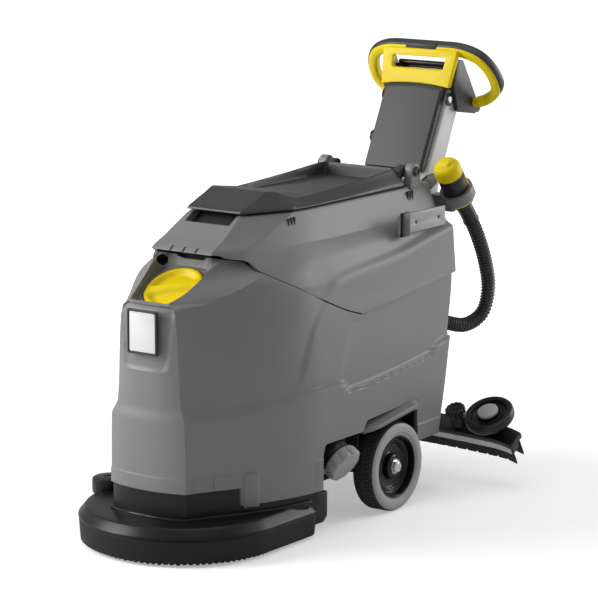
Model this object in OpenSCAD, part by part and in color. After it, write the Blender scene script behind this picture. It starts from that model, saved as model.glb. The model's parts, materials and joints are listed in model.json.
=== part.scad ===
// Walk-behind floor scrubber: moulded base and waste tanks on two wheels, a round brush deck in
// front, a raised suction squeegee behind, and a push column with a looped handle.
// Front is -Y, the machine's left is +X, the floor is Z = 0.

/* [Body] */
// Greatest width of the moulded body
body_w = 444; // [430:1:470]
// Wheel axle forward to the body's front face
body_front = 604; // [590:1:640]
// Wheel axle back to the body's rear face
body_rear = 298; // [280:1:320]
// Wall thickness of the mouldings
wall = 5; // [4:0.5:7]
// Underside of the body's floor
floor_z = 112; // [112:0.5:120]
// Height where the front face turns into the filling slope
brow_z = 526; // [510:1:540]
// Height of the lowest point of the seam between the tanks
seam_z = 457; // [445:1:470]
// Height of the tank's top, below the lid
tank_top_z = 690; // [680:1:710]
// Height of the lid above its seat
lid_h = 36; // [32:1:44]

/* [Deck] */
// Diameter of the scrubbing brush
brush_d = 430; // [400:1:440]
// Body front back to the brush centre
brush_inset = 144; // [138:1:150]
// Width of the brush deck
deck_w = 448; // [446:1:460]
// Top of the deck plate
deck_top_z = 81; // [78:0.5:82]
// Lower edge of the splash skirt
skirt_z = 8; // [5:0.5:12]

/* [Wheels] */
// Wheel diameter
wheel_d = 200; // [190:1:206]
// Wheel width
wheel_w = 58; // [50:1:60]
// How far each wheel stands out past the body's side
wheel_out = 13; // [11:1:18]
// Axle diameter
axle_d = 20; // [16:0.5:21]

/* [Column and handle] */
// Column width
column_w = 174; // [160:1:178]
// Column depth
column_d = 64; // [56:1:70]
// Lean of the column from upright
column_lean = 26; // [24:0.5:28]
// Height of the column's upper end at its front
column_top_z = 894; // [880:1:906]
// Width over the handle's loops
handle_w = 374; // [364:1:384]
// Diameter of the handle tube
handle_d = 26; // [22:0.5:28]
// Diameter of the soft grip
grip_d = 38; // [37:0.5:40]

/* [Squeegee] */
// Width of the squeegee
squeegee_w = 706; // [660:1:740]
// Angle by which the squeegee is raised
lift_angle = 30; // [24:1:32]
// Guide roller diameter
roller_d = 104; // [90:1:110]
// Suction spigot's outside diameter
spigot_d = 40; // [36:0.5:44]

/* [Drain hose] */
// Outside diameter of the drain hose
hose_d = 33; // [28:0.5:36]
// Diameter of the hose's end barrel
barrel_d = 60; // [52:0.5:62]

/* [Fits] */
// Radial running clearance of shafts and pins
run = 0.05; // [0.02:0.01:0.09]
// Gap between seated pieces
seat = 0.3; // [0.2:0.05:0.5]

/* [Hidden] */
$fn = 72;

// Places measured from the axle (y) and from the floor (z)
half = body_w / 2;
brush_y = brush_inset - body_front;
deck_r = deck_w / 2;
deck_back = 192;
skirt_t = 4;
skirt_top = deck_top_z - 24;
plate_z = skirt_top + 2;
wheel_r = wheel_d / 2;
axle_z = wheel_r;
axle_r = axle_d / 2;
wheel_span = body_w + 2 * wheel_out;
wheel_x = wheel_span / 2 - wheel_w;
arch_x = wheel_x - 9;
lip_z = tank_top_z - 68;
notch_y = brush_y - 14;
notch_z = floor_z + 28;
hem_z = floor_z - 10;
rear_floor_z = floor_z + 22;
arch_top = max(axle_z + wheel_r + 32, 232);
recess_z = 200;
lean_t = tan(column_lean);
column_y = body_rear + 2;
column_knee = 671;
col_x = column_w / 2;
column_top_y = column_y + (column_top_z - column_knee) * lean_t;
console_rear = column_top_y + 123;
axle_y = (body_front - brush_inset + deck_r - console_rear) / 2;

// Body outline tables: height against an inward or backward step
draft = [[112, 0], [320, 4], [460, 16], [530, 26], [560, 35], [590, 52], [622, 71], [655, 82], [690,
    96]];
crease_in = [[112, 122], [290, 125], [325, 135], [490, 144], [528, 151], [690, 154]];
crease_back = 19;
wide_at = [[112, -265], [560, -265], [620, -190], [690, -150]];
rear_step = [[112, 83], [250, 43], [360, 23], [492, 1], [530, 0]];
rear_in = [[112, 18], [320, 20], [490, 10], [530, 2], [560, -6], [590, -22], [622, -14], [655, 0],
    [690, 2]];
base_front = [[112, 0], [320, 0], [526, 2], [535, 21], [613, 161], [650, 227]];
base_rim = [[112, 122], [290, 125], [325, 135], [490, 144], [526, 151], [535, 167], [613, 130], [650,
    112]];
base_nose = [[112, 19], [526, 17], [535, 0]];
base_flank = [[112, 43], [526, 43], [535, 102], [545, 125], [566, 178], [581, 220], [650, 360]];
hood_front = [[440, 124], [530, 127], [590, 130], [622, 144], [655, 190], [690, 248]];
hood_rim = [[440, 146], [590, 144], [622, 143], [655, 146], [690, 153]];
hood_flank = [[440, 140], [590, 154], [622, 208], [655, 280], [690, 364]];

function level(z, hood) = hood ? z + (690 - tank_top_z) * min(1, max(0, (z - 500) / 100))
    : z + (526 - brow_z) * min(1, max(0, (z - 320) / 200));
function half_w(z) = half - lookup(z, draft);
function crease_x(z) = half - lookup(z, crease_in);
crease_y = crease_back - body_front;
function wide(z) = lookup(z, wide_at);
function flank_x(z, y) = let (t = min(1, max(0, (y - crease_y) / (wide(z) - crease_y))))
  crease_x(z) + (half_w(z) - crease_x(z)) * pow(sin(90 * t), 1.1);
function front_at(z, hood) = lookup(level(z, hood), hood ? hood_front : base_front) - body_front;
function rear_at(z) = body_rear - lookup(z, rear_step);
function side_at(z) = half_w(z) - lookup(z, rear_in);

// Half outline of the body at height z, stepped in by d, from front centre to rear centre
function half_outline(z, d, hood, back) = let (
    q = level(z, hood),
    front = front_at(z, hood) + d * (hood ? 3.6 : q > 526 ? 2 : 1),
    rim = half - lookup(q, hood ? hood_rim : base_rim) - d / 2,
    nose = hood ? 0 : lookup(q, base_nose),
    start = lookup(q, hood ? hood_flank : base_flank) - body_front + d * 1.5,
    end = min(back, rear_at(z) - d),
    side = side_at(q) - d)
  concat([[0, front], [rim * 0.62, front + nose * 0.22], [rim, front + nose]],
    [for (j = [0:5]) let (y = start + (wide(q) - start) * j / 5) [flank_x(q, y) - d, y]],
    [[side, end - 28], [side - 25, end], [0, end]]);
function mirrored(pts) = let (n = len(pts))
  concat(pts, [for (i = [n - 2:-1:1]) [-pts[i][0], pts[i][1]]]);
function lift(pts, z) = [for (p = pts) [p[0], p[1], z]];
function body_ring(z, d, hood, back = 900) = lift(mirrored(half_outline(z, d, hood, back)), z);

function middle(pts) = [for (p = pts) 1] * pts / len(pts);

// Closed skin through rings of points, each with the same count
module loft(rings) {
  n = len(rings[0]);
  m = len(rings);
  sides = [for (k = [0:m - 2]) for (i = [0:n - 1]) let (j = (i + 1) % n)
    each [[k * n + i, (k + 1) * n + i, (k + 1) * n + j], [k * n + i, (k + 1) * n + j, k * n + j]]];
  low = [for (i = [0:n - 1]) [m * n, i, (i + 1) % n]];
  high = [for (i = [0:n - 1]) [m * n + 1, (m - 1) * n + (i + 1) % n, (m - 1) * n + i]];
  polyhedron(points = concat([for (r = rings) each r], [middle(rings[0]), middle(rings[m - 1])]),
    faces = concat(low, sides, high));
}

function unit(v) = v / norm(v);
function tangent(p, i) = unit(p[min(i + 1, len(p) - 1)] - p[max(i - 1, 0)]);

// Tube of radius r along points p, with ref across the path
module tube(p, r, sides, ref) {
  loft([for (i = [0:len(p) - 1]) let (t = tangent(p, i), a = unit(cross(ref, t)), b = cross(t, a))
    [for (k = [0:sides - 1]) p[i] + r * (cos(360 * k / sides) * a + sin(360 * k / sides) * b)]]);
}

// Point on a smooth curve through p at step s
function spline(p, s) = let (i = min(floor(s), len(p) - 2), t = s - i,
    a = p[max(i - 1, 0)], b = p[i], c = p[i + 1], d = p[min(i + 2, len(p) - 1)])
  b + 0.5 * t * (c - a + t * (2 * a - 5 * b + 4 * c - d + t * (3 * (b - c) + d - a)));
function smooth(p, n) = [for (k = [0:(len(p) - 1) * n]) spline(p, k / n)];

module at_axle() {
  translate([0, axle_y, 0]) children();
}

module slab(x0, x1, pts) {
  translate([x0, 0, 0]) rotate([90, 0, 90]) linear_extrude(height = x1 - x0) polygon(pts);
}

module rod(x0, x1, y, z, r) {
  translate([x0, y, z]) rotate([0, 90, 0]) cylinder(h = x1 - x0, r = r);
}

module pair() {
  children();
  mirror([1, 0, 0]) children();
}

module box(x0, x1, y0, y1, z0, z1) {
  translate([x0, y0, z0]) cube([x1 - x0, y1 - y0, z1 - z0]);
}

// Seam profile, seen from the side, and everything above it
seam = [[-480, lip_z], [-452, lip_z - 2], [-436, lip_z - 10], [-401, lip_z - 18], [-381, lip_z - 42],
    [-293, seam_z + 77],
  [-206, seam_z + 36], [-150, seam_z + 14], [-110, seam_z + 2], [-85, seam_z - 1], [60, seam_z + 13],
      [180, seam_z + 26],
  [340, seam_z + 41]];
module above_seam(rise) {
  shift = 604 - body_front;
  slab(-half, half, concat([for (p = seam) [p[0] + shift, p[1] + rise]], [[340, 900], [-480 + shift,
      900]]));
}

module below_seam(rise) {
  shift = 604 - body_front;
  slab(-half, half, concat([[-480 + shift, 300], [340, 300]],
    [for (i = [len(seam) - 1:-1:0]) [seam[i][0] + shift, seam[i][1] + rise]]));
}

// Wheel arch and cap recess on one side, grown by d
module arch(d) {
  slab(arch_x - d, half + 20, [[-268 - d, floor_z - 40], [-268 - d, 168 + d], [-259 - d, recess_z + d],
    [-113, recess_z + d], [-100, arch_top - 10 + d], [wheel_r + 10 + d, arch_top + d],
    [wheel_r + 10 + d, floor_z - 40]]);
}

// Fill opening on the slope
slope_a = atan2(78, 140);
cap_at = [0, front_at(brow_z + 50, false), brow_z + 50];
cap_r = 66;
neck_r = 44;
hatch_s = -24;
cap_s = hatch_s - 12;
module on_slope(s) {
  translate(cap_at) rotate([slope_a, 0, 0]) translate([0, 0, s]) children();
}

// Sunk hatch around the fill opening, grown by d
module hatch(d, h) {
  linear_extrude(height = h) polygon([[-55 - d, -80 - d], [55 + d, -80 - d], [68 + d, -38],
      [80 + d, 20], [80 + d, 66 + d], [-80 - d, 66 + d], [-80 - d, 20], [-68 - d, -38]]);
}

// Blank plate in a recess of the front face
plate_w = 68;
plate_z0 = brow_z - 94;
plate_back = 7 - body_front;

// Filter cap on the left side, behind the deck
cap_tilt = 33;
filter_r = 36;
filter_at = [wheel_span / 2 + 1, -200, 141];
module on_filter(s) {
  translate(filter_at) rotate([0, 90 + cap_tilt, 0]) translate([0, 0, s]) children();
}

module base_shape(d, bottom) {
  q = [for (z = [200, 288, 326, 420, 490, 526, 535, 560, 590, 613, 640])
      z < 330 ? z : z + brow_z - 526];
  loft([for (z = concat([bottom], q)) body_ring(z, d, false)]);
}

module base_outer() {
  difference() {
    base_shape(0, hem_z);
    above_seam(-seat);
    pair() arch(0);
    box(-half, half, -body_front - 20, notch_y, 0, notch_z);
    translate([0, 0, hem_z - 1]) linear_extrude(height = floor_z - hem_z + 1)
        polygon(mirrored(half_outline(floor_z, 9, false, 900)));
    box(-half, half, wheel_r + 9, body_rear + 40, 0, rear_floor_z);
  }
}

module base_inner() {
  difference() {
    base_shape(wall, floor_z + wall);
    pair() arch(wall);
    box(-half, half, wheel_r + 9 - wall, body_rear + 40, 0, rear_floor_z + wall);
  }
}

module base_tank() {
  color([0.42, 0.43, 0.45]) at_axle() difference() {
    union() {
      difference() {
        base_outer();
        base_inner();
      }
      intersection() {
        base_outer();
        union() {
          on_slope(hatch_s - 6) hatch(6, 60);
          on_slope(cap_s - 8) cylinder(h = 40, r = cap_r + 8);
          box(-48, 48, -body_front - 10, -body_front + 20, plate_z0 - 14, plate_z0 + 98);
        }
      }
      pair() slab(half - 26, wheel_span / 2 - 3, [[-112, arch_top - 20], [-98, arch_top - 9], [90,
          arch_top + 1], [96, arch_top + 24],
        [-94, arch_top + 16]]);
    }
    on_slope(hatch_s) hatch(0, 60);
    on_slope(cap_s) cylinder(h = 60, r = cap_r + 2.5);
    on_slope(cap_s - 60) cylinder(h = 70, r = neck_r);
    box(-plate_w / 2 - 6, plate_w / 2 + 6, -body_front - 20, plate_back, plate_z0 - 6,
        plate_z0 + 84 + 6);
    translate([0, brush_y, floor_z - 20]) cylinder(h = 60, r = 79);
    on_filter(-92) cylinder(h = 100, r = filter_r + 0.4);
    translate([120, 0, 372]) rotate([-90, 0, 0]) cylinder(h = body_rear + 40, r = 12.4);
  }
}

module front_plate() {
  color([0.86, 0.87, 0.88]) at_axle() box(-plate_w / 2, plate_w / 2, plate_back - seat - 4,
      plate_back - seat, plate_z0, plate_z0 + 84);
}

// Plan of the deck: half round in front, straight behind
module deck_plan(r, back) {
  circle(r);
  translate([-r, 0]) square([2 * r, back]);
}

// Block with the deck's plan whose sides lean in from r0 to r1
module deck_block(z0, z1, r0, r1, back) {
  translate([0, 0, z0]) cylinder(h = z1 - z0, r1 = r0, r2 = r1);
  translate([0, back, 0]) rotate([90, 0, 0]) linear_extrude(height = back)
    polygon([[-r0, z0], [r0, z0], [r1, z1], [-r1, z1]]);
}

module riser_plan(d) {
  intersection() {
    polygon(mirrored(half_outline(notch_z, d, false, 900)));
    translate([-half, -body_front]) square([body_w, body_front - 336]);
  }
}

stop_y = brush_y + deck_back;
pedestal_r = 76;
pedestal_z = notch_z + 4;
boss_r = 38;
module brush_deck() {
  rim_r = deck_r - skirt_t - 0.4;
  color([0.09, 0.09, 0.1]) at_axle() difference() {
    union() {
      translate([0, brush_y, 0]) {
        deck_block(plate_z, deck_top_z, deck_r - 2, deck_r - 18, deck_back);
        translate([0, 0, 34]) linear_extrude(height = plate_z - 33) deck_plan(rim_r, deck_back - 2.4);
        cylinder(h = pedestal_z, r = pedestal_r);
      }
      intersection() {
        translate([0, 0, deck_top_z - 1]) linear_extrude(height = notch_z + 3 - deck_top_z)
            riser_plan(11);
        box(-half, half, -body_front, notch_y - 1, 0, 300);
      }
      translate([0, 0, deck_top_z - 1]) linear_extrude(height = floor_z - 0.4 - deck_top_z + 1)
          riser_plan(11);
      pair() slab(150, 196, [[stop_y - 10, deck_top_z - 14], [stop_y + 3, deck_top_z - 14],
        [stop_y + 3, skirt_z + 10], [stop_y + 40, skirt_z + 10], [stop_y + 54, skirt_z + 22],
        [stop_y + 54, deck_top_z + 5], [stop_y - 10, deck_top_z - 2]]);
    }
    translate([0, brush_y, -1]) {
      linear_extrude(height = plate_z + 1) deck_plan(rim_r - 3.4, deck_back - 6);
      linear_extrude(height = deck_top_z - 3) deck_plan(deck_r - 24, deck_back - 12);
      cylinder(h = 300, r = boss_r + 0.5);
    }
    translate([0, 0, deck_top_z - 6]) linear_extrude(height = floor_z - 5 - deck_top_z + 6)
        difference() {
      riser_plan(16);
      translate([0, brush_y]) circle(pedestal_r);
    }
  }
}

module deck_skirt() {
  color([0.13, 0.13, 0.14]) at_axle() translate([0, brush_y, skirt_z])
    linear_extrude(height = skirt_top - skirt_z) difference() {
      deck_plan(deck_r, deck_back + 2);
      deck_plan(deck_r - skirt_t, deck_back - 2);
    }
}

shaft_r = 12;
module gear_motor() {
  color([0.3, 0.31, 0.33]) at_axle() translate([0, brush_y, 0]) difference() {
    union() {
      translate([0, 0, pedestal_z + seat]) cylinder(h = 50, r = 72);
      translate([0, 0, pedestal_z + 48]) cylinder(h = 120, r = 58);
      translate([0, 0, pedestal_z + 160]) cylinder(h = 26, r = 46);
      translate([0, 0, 96]) cylinder(h = pedestal_z - 90, r = boss_r);
    }
    translate([0, 0, 90]) cylinder(h = 106, r = shaft_r + run);
  }
}

module drive_shaft() {
  color([0.7, 0.71, 0.73]) at_axle() translate([0, brush_y, 0]) {
    translate([0, 0, 50]) cylinder(h = 140, r = shaft_r);
    translate([0, 0, 42 + seat]) cylinder(h = 30, r = 30);
  }
}

brush_r = brush_d / 2;
module brush_disc() {
  color([0.15, 0.15, 0.16]) at_axle() translate([0, brush_y, 0]) difference() {
    translate([0, 0, 26 + seat]) cylinder(h = 16 - seat, r = brush_r - 6);
    translate([0, 0, 20]) cylinder(h = 40, r = 24);
  }
}

module bristle_ring() {
  color([0.72, 0.1, 0.08]) at_axle() translate([0, brush_y, 0]) difference() {
    cylinder(h = 26, r = brush_r);
    translate([0, 0, -1]) cylinder(h = 30, r = 70);
  }
}

rail_x0 = 100;
rail_x1 = 130;
pivot_y = 186;
pivot_z = 95;
pivot_r = 8;
module chassis_frame() {
  z0 = deck_top_z + seat;
  z1 = floor_z - seat;
  color([0.1, 0.1, 0.11]) at_axle() difference() {
    union() {
      pair() box(rail_x0, rail_x1, -330, pivot_y + 16, z0, z1);
      box(-rail_x1, rail_x1, -262, -232, z0, z1);
      box(-rail_x1, rail_x1, 40, 64, z0, z1);
      pair() slab(rail_x1 - 1, arch_x + 34, [[-320, z0], [-262, z0], [-240, z1], [-320, z1]]);
    }
    rod(-300, 300, 0, axle_z, axle_r + run);
    rod(-300, 300, pivot_y, pivot_z, pivot_r + run);
  }
}

module axle() {
  color([0.62, 0.63, 0.65]) at_axle() {
    rod(-wheel_span / 2 + 1, wheel_span / 2 - 1, 0, axle_z, axle_r);
    pair() rod(rail_x1 + seat, wheel_x + 4 - seat, 0, axle_z, axle_r + 1.3);
  }
}

module axle_nuts() {
  color([0.75, 0.76, 0.78]) at_axle() pair() difference() {
    translate([wheel_x + wheel_w - 10 + seat, 0, axle_z]) rotate([0, 90, 0]) cylinder(h = 10 - seat,
        r = 15, $fn = 6);
    rod(100, 300, 0, axle_z, axle_r + run);
  }
}

tyre_r = wheel_r - 30;
module on_wheel(side) {
  at_axle() mirror([side < 0 ? 1 : 0, 0, 0]) translate([wheel_x, 0, axle_z]) rotate([0, 90, 0])
      children();
}
module rim() {
  color([0.1, 0.1, 0.11]) rotate_extrude() polygon([[axle_r + run, 4], [tyre_r - run, 4],
    [tyre_r - run, wheel_w - 4], [tyre_r - 10, wheel_w - 4], [tyre_r - 14, wheel_w - 14], [24,
        wheel_w - 18],
    [24, wheel_w - 10], [axle_r + run, wheel_w - 10]]);
}
module tyre() {
  color([0.2, 0.2, 0.21]) rotate_extrude() polygon([[tyre_r, 4], [wheel_r - 8, 0], [wheel_r, 8],
    [wheel_r, wheel_w - 8], [wheel_r - 8, wheel_w], [tyre_r, wheel_w - 4]]);
}
module left_rim() {
  on_wheel(1) rim();
}
module right_rim() {
  on_wheel(-1) rim();
}
module left_tyre() {
  on_wheel(1) tyre();
}
module right_tyre() {
  on_wheel(-1) tyre();
}

inside_z = floor_z + wall + seat;
module vacuum_motor() {
  color([0.35, 0.36, 0.38]) at_axle() translate([84, -250, inside_z]) {
    cylinder(h = 60, r = 64);
    translate([0, 0, 58]) cylinder(h = 80, r = 50);
    translate([0, 0, 136]) cylinder(h = 24, r = 20);
  }
}

module battery_pack() {
  bx = arch_x - wall - 4;
  color([0.06, 0.06, 0.07]) at_axle() pair() union() {
    box(4, bx, -116, 98, inside_z, inside_z + 190);
    translate([bx * 0.3, -80, inside_z + 189]) cylinder(h = 14, r = 9);
    translate([bx * 0.75, -80, inside_z + 189]) cylinder(h = 14, r = 9);
  }
}

module control_unit() {
  color([0.25, 0.27, 0.26]) at_axle() {
    box(-150, -24, -312, -200, inside_z, inside_z + 56);
    for (i = [0:6]) box(-146 + 18 * i, -140 + 18 * i, -308, -204, inside_z + 55, inside_z + 72);
  }
}

module filter_housing() {
  color([0.08, 0.08, 0.09]) at_axle() {
    on_filter(-86) cylinder(h = 56 - seat, r = filter_r);
    on_filter(-40) cylinder(h = 30, r = 10);
  }
}

module filter_cap() {
  color([0.45, 0.46, 0.48]) at_axle() on_filter(-30) difference() {
    union() {
      cylinder(h = 30, r = 40);
      for (i = [0:17]) rotate(20 * i) translate([40, 0, 0]) cylinder(h = 30, r = 3, $fn = 24);
    }
    translate([0, 0, -1]) cylinder(h = 24, r = 10 + run);
    translate([0, 0, 24]) difference() {
      cylinder(h = 10, r = 34);
      translate([-40, -5, -1]) cube([80, 10, 20]);
    }
  }
}

module fill_cap() {
  color([0.93, 0.78, 0.1]) at_axle() {
    difference() {
      on_slope(cap_s + seat) cylinder(h = 14, r = cap_r);
      on_slope(cap_s + seat + 28) rotate([0, 0, 24])
        for (k = [-1, 1]) translate([-40, 27 * k, 0]) rotate([0, 90, 0]) cylinder(h = 80, r = 22);
    }
    on_slope(cap_s - 16) cylinder(h = 20, r = neck_r - 1);
  }
}

// Waste tank: hood over the seam, with pockets for the hinge brackets
hood_levels = [440, 530, 560, 590, 622, 655, 690];
module hood_shape(d, top) {
  rise = tank_top_z - 690;
  q = [for (z = hood_levels) z < 600 ? z : min(z + rise, top)];
  loft([for (z = q) body_ring(z, d, true)]);
}
ceiling_z = tank_top_z - wall - 0.7;
hinge_y = body_rear - 13;
hinge_z = tank_top_z - 16;
hinge_r = 5;
barrel_x = 152;
barrel_r = barrel_d / 2;
lid_back = 197;
lid_pin_y = lid_back + 20;
lid_pin_z = tank_top_z + 34;
lid_pin_r = 6;
lug_x = 108;
inlet_x = -118;
inlet_z = tank_top_z - 60;
rail_y0 = 70;
rail_y1 = rail_y0 + 183;
rail_z0 = tank_top_z - 86;
rail_x = side_at(rail_z0) + 1;
rail_bolts = [rail_y0 + 66, rail_y0 + 156];

module hood_pockets(d) {
  pair() box(col_x - 4 - d, col_x + 12 + d, hinge_y - 14 - d, body_rear + 20, hinge_z - 14 - d,
      tank_top_z + 20);
}

module waste_tank() {
  ring = half_outline(tank_top_z, 26, true, lid_back - 6);
  color([0.42, 0.43, 0.45]) at_axle() difference() {
    union() {
      difference() {
        hood_shape(0, tank_top_z);
        below_seam(0);
        hood_pockets(0);
        difference() {
          hood_shape(wall, ceiling_z);
          below_seam(wall + 1);
          hood_pockets(wall + 0.3);
        }
      }
      pair() slab(lug_x, lug_x + 22, [[lid_pin_y - 17, tank_top_z - 26], [lid_pin_y + 18,
          tank_top_z - 26], [lid_pin_y + 16, lid_pin_z + 14],
        [lid_pin_y - 10, lid_pin_z + 17]]);
      pair() box(col_x + 13, col_x + 28, hinge_y - 14, hinge_y + 9, hinge_z - 14, tank_top_z - 1);
      for (y = rail_bolts) rod(rail_x - 32, rail_x - seat, y, rail_z0 + 21, 9);
      translate([inlet_x, body_rear - 16, inlet_z]) rotate([-90, 0, 0]) cylinder(h = 20,
          r = spigot_d / 2 + 6);
      translate([inlet_x, body_rear - 2, inlet_z]) rotate([-90, 0, 0]) cylinder(h = 41,
          r = spigot_d / 2);
    }
    translate([0, 0, tank_top_z - wall - 2]) linear_extrude(height = 20) polygon(mirrored(ring));
    pair() rod(lug_x - 10, lug_x + 40, lid_pin_y, lid_pin_z, lid_pin_r + run);
    pair() rod(col_x, col_x + 36, hinge_y, hinge_z, hinge_r + run);
    for (y = rail_bolts) rod(rail_x - 14, rail_x + 10, y, rail_z0 + 21, 4.5);
    translate([inlet_x, body_rear - 24, inlet_z]) rotate([-90, 0, 0]) cylinder(h = 84,
        r = spigot_d / 2 - 3);
  }
}

module float_cage() {
  color([0.75, 0.76, 0.78]) at_axle() translate([-20, 212, 0]) difference() {
    translate([0, 0, ceiling_z - 91]) cylinder(h = 91 - seat, r = 36);
    translate([0, 0, ceiling_z - 87]) cylinder(h = 60, r = 32);
    for (i = [0:5]) rotate(60 * i) translate([0, -6, ceiling_z - 79]) cube([60, 12, 44]);
  }
}

module accessory_rail() {
  color([0.7, 0.71, 0.72]) at_axle() difference() {
    box(rail_x, rail_x + 5, rail_y0, rail_y1, rail_z0, rail_z0 + 43);
    for (y = rail_bolts) rod(100, 300, y, rail_z0 + 21, 4.5);
  }
}

module rail_clip() {
  z1 = rail_z0 + 43;
  y0 = rail_y0 + 4;
  y1 = rail_y0 + 34;
  color([0.06, 0.06, 0.07]) at_axle() {
    box(rail_x + 5.4, rail_x + 11, y0, y1, rail_z0 - 5, z1 + 5);
    box(rail_x + 3.2, rail_x + 6, y0, y1, rail_z0 - 5, rail_z0 - 0.4);
    box(rail_x + 3.2, rail_x + 6, y0, y1, z1 + 0.4, z1 + 5);
  }
}

// Tray lid, hinged at its rear
lid_z = tank_top_z + 4;
function lid_ring(z, d, in) = lift(mirrored(half_outline(tank_top_z, d, true, lid_back - in)), z);
module tank_lid() {
  top = lid_z + lid_h;
  color([0.3, 0.31, 0.33]) at_axle() difference() {
    union() {
      loft([lid_ring(lid_z, 0, 0), lid_ring(lid_z + 10, 2, 1), lid_ring(top, 26, 12)]);
      pair() slab(lug_x - 24, lug_x - 0.5, [[lid_back - 15, lid_z + 8], [lid_pin_y - 2, lid_pin_z - 9],
          [lid_pin_y + 2, lid_pin_z + 9],
        [lid_back - 15, lid_z + 27]]);
      pair() rod(lug_x - 24, lug_x - 0.5, lid_pin_y, lid_pin_z, 13);
    }
    translate([0, 0, lid_z + 17]) linear_extrude(height = 60) intersection() {
      polygon(mirrored(half_outline(tank_top_z, 34, true, lid_back - 24)));
      translate([-half, -141]) square([body_w, 600]);
    }
    translate([0, 0, lid_z - 1]) linear_extrude(height = 12) polygon(mirrored(half_outline(tank_top_z,
        22, true, lid_back - 22)));
    pair() rod(lug_x - 30, lug_x + 40, lid_pin_y, lid_pin_z, lid_pin_r + run);
  }
}

module lid_seal() {
  color([0.05, 0.05, 0.05]) at_axle() translate([0, 0, tank_top_z + seat])
      linear_extrude(height = lid_z - tank_top_z - 2 * seat)
    difference() {
      polygon(mirrored(half_outline(tank_top_z, 6, true, lid_back - 6)));
      polygon(mirrored(half_outline(tank_top_z, 13, true, lid_back - 14)));
    }
}

module lid_pins() {
  color([0.7, 0.71, 0.73]) at_axle() pair() union() {
    rod(lug_x - 25, lug_x + 25, lid_pin_y, lid_pin_z, lid_pin_r);
    rod(lug_x + 22 + seat, lug_x + 27, lid_pin_y, lid_pin_z, 11);
  }
}

module tank_hinges() {
  color([0.12, 0.12, 0.13]) at_axle() pair() union() {
    rod(col_x + seat, col_x + 8, hinge_y, hinge_z, 11);
    slab(col_x + seat, col_x + 8, [[hinge_y, hinge_z - 10], [column_y + 22, hinge_z - 12],
        [column_y + 58, hinge_z + 2],
      [column_y + 58, hinge_z + 26], [column_y + 20, hinge_z + 24], [hinge_y, hinge_z + 10]]);
    rod(col_x + 4, col_x + 27, hinge_y, hinge_z, hinge_r);
  }
}

// Push column: upright foot against the body, then leaning back
col_foot_z = 372;
dy = column_d / cos(column_lean);
function col_front(z) = column_y + max(0, z - column_knee) * lean_t;
top_rear = [column_top_y + column_d * cos(column_lean), column_top_z - column_d * sin(column_lean)];
module column_shell() {
  cover = 12;
  color([0.66, 0.67, 0.69]) at_axle() slab(-col_x, col_x, [[rear_at(col_foot_z) + seat, col_foot_z],
    [rear_at(492) + seat, 492], [column_y, 530], [column_y, column_knee],
    [column_y + 40 * lean_t + cover, column_knee + 40], [column_top_y + cover,
        column_top_z - cover * lean_t],
    top_rear, [column_y + dy + 4, column_knee - 8], [column_y + column_d, col_foot_z + 60],
    [column_y + 20, col_foot_z]]);
}

module column_cover() {
  a = column_knee + 44;
  color([0.36, 0.37, 0.39]) at_axle() slab(-col_x + 6, col_x - 6, [[col_front(a) + 12 - seat, a],
      [col_front(a), a],
    [column_top_y, column_top_z], [column_top_y + 12 - seat, column_top_z - (12 - seat) * lean_t]]);
}

module column_bolts() {
  color([0.78, 0.79, 0.8]) at_axle() pair() union() {
    rod(col_x + seat, col_x + 6, col_front(column_top_z - 30) + 21, column_top_z - 30, 9);
    rod(col_x + seat, col_x + 6, column_y + 34, 470, 9);
  }
}

// Handle loop, centre panel and console
bar_y = column_top_y + 36;
bar_z = column_top_z + 82;
loop_x = handle_w / 2 - handle_d / 2;
foot_x = col_x + 24;
foot_y = bar_y + 60;
foot_z = bar_z - 126;
function loop_at(f, d) = [loop_x * f, bar_y + 0.62 * d, bar_z - d];
loop_half = [[foot_x, foot_y, foot_z], [loop_x * 0.77, bar_y + 68, bar_z - 119], loop_at(0.908, 104),
  loop_at(0.983, 88), loop_at(1, 70), loop_at(0.977, 50), loop_at(0.925, 32), loop_at(0.84, 17),
  loop_at(0.713, 7), loop_at(0.546, 1), loop_at(0.3, 0), [0, bar_y, bar_z]];
loop_path = concat(loop_half, [for (i = [len(loop_half) - 2:-1:0]) [-loop_half[i][0], loop_half[i][1],
    loop_half[i][2]]]);
function panel_y(z) = column_top_y - 5 + 0.28 * (z - column_top_z - 2);
panel_t = 14.8;
panel_top = bar_z - 4;
panel_low = column_top_z + 2;
win_x = 72;
win_low = column_top_z + 36;
win_high = column_top_z + 64;
cheek_x = col_x + 12;

module centre_panel(d) {
  slab(-cheek_x - d, cheek_x + d, [[panel_y(panel_low) - d, panel_low], [panel_y(panel_low)
      + panel_t + d, panel_low],
    [panel_y(panel_top) + panel_t + d, panel_top + d], [panel_y(panel_top) - d, panel_top + d]]);
}

module handle_frame() {
  color([0.93, 0.78, 0.1]) at_axle() {
    tube(smooth(loop_path, 2), handle_d / 2, 12, [0, 1, 0]);
    difference() {
      centre_panel(0);
      box(-win_x, win_x, 300, 700, win_low, win_high);
    }
    pair() rod(foot_x - 12, foot_x + 3, foot_y, foot_z, 11);
  }
}

module handle_grip() {
  core = [for (p = smooth(loop_path, 2)) if (p[2] > bar_z - 108) p];
  sleeve = [for (p = core) if (p[2] > bar_z - 96) [p[0] * 1.02, p[1] + 2, p[2] + 3 - (bar_z - p[2]) * 0.06]];
  color([0.2, 0.2, 0.21]) at_axle() difference() {
    tube(sleeve, grip_d / 2, 16, [0, 1, 0]);
    tube(core, handle_d / 2 + seat, 12, [0, 1, 0]);
    centre_panel(seat);
  }
}

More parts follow.
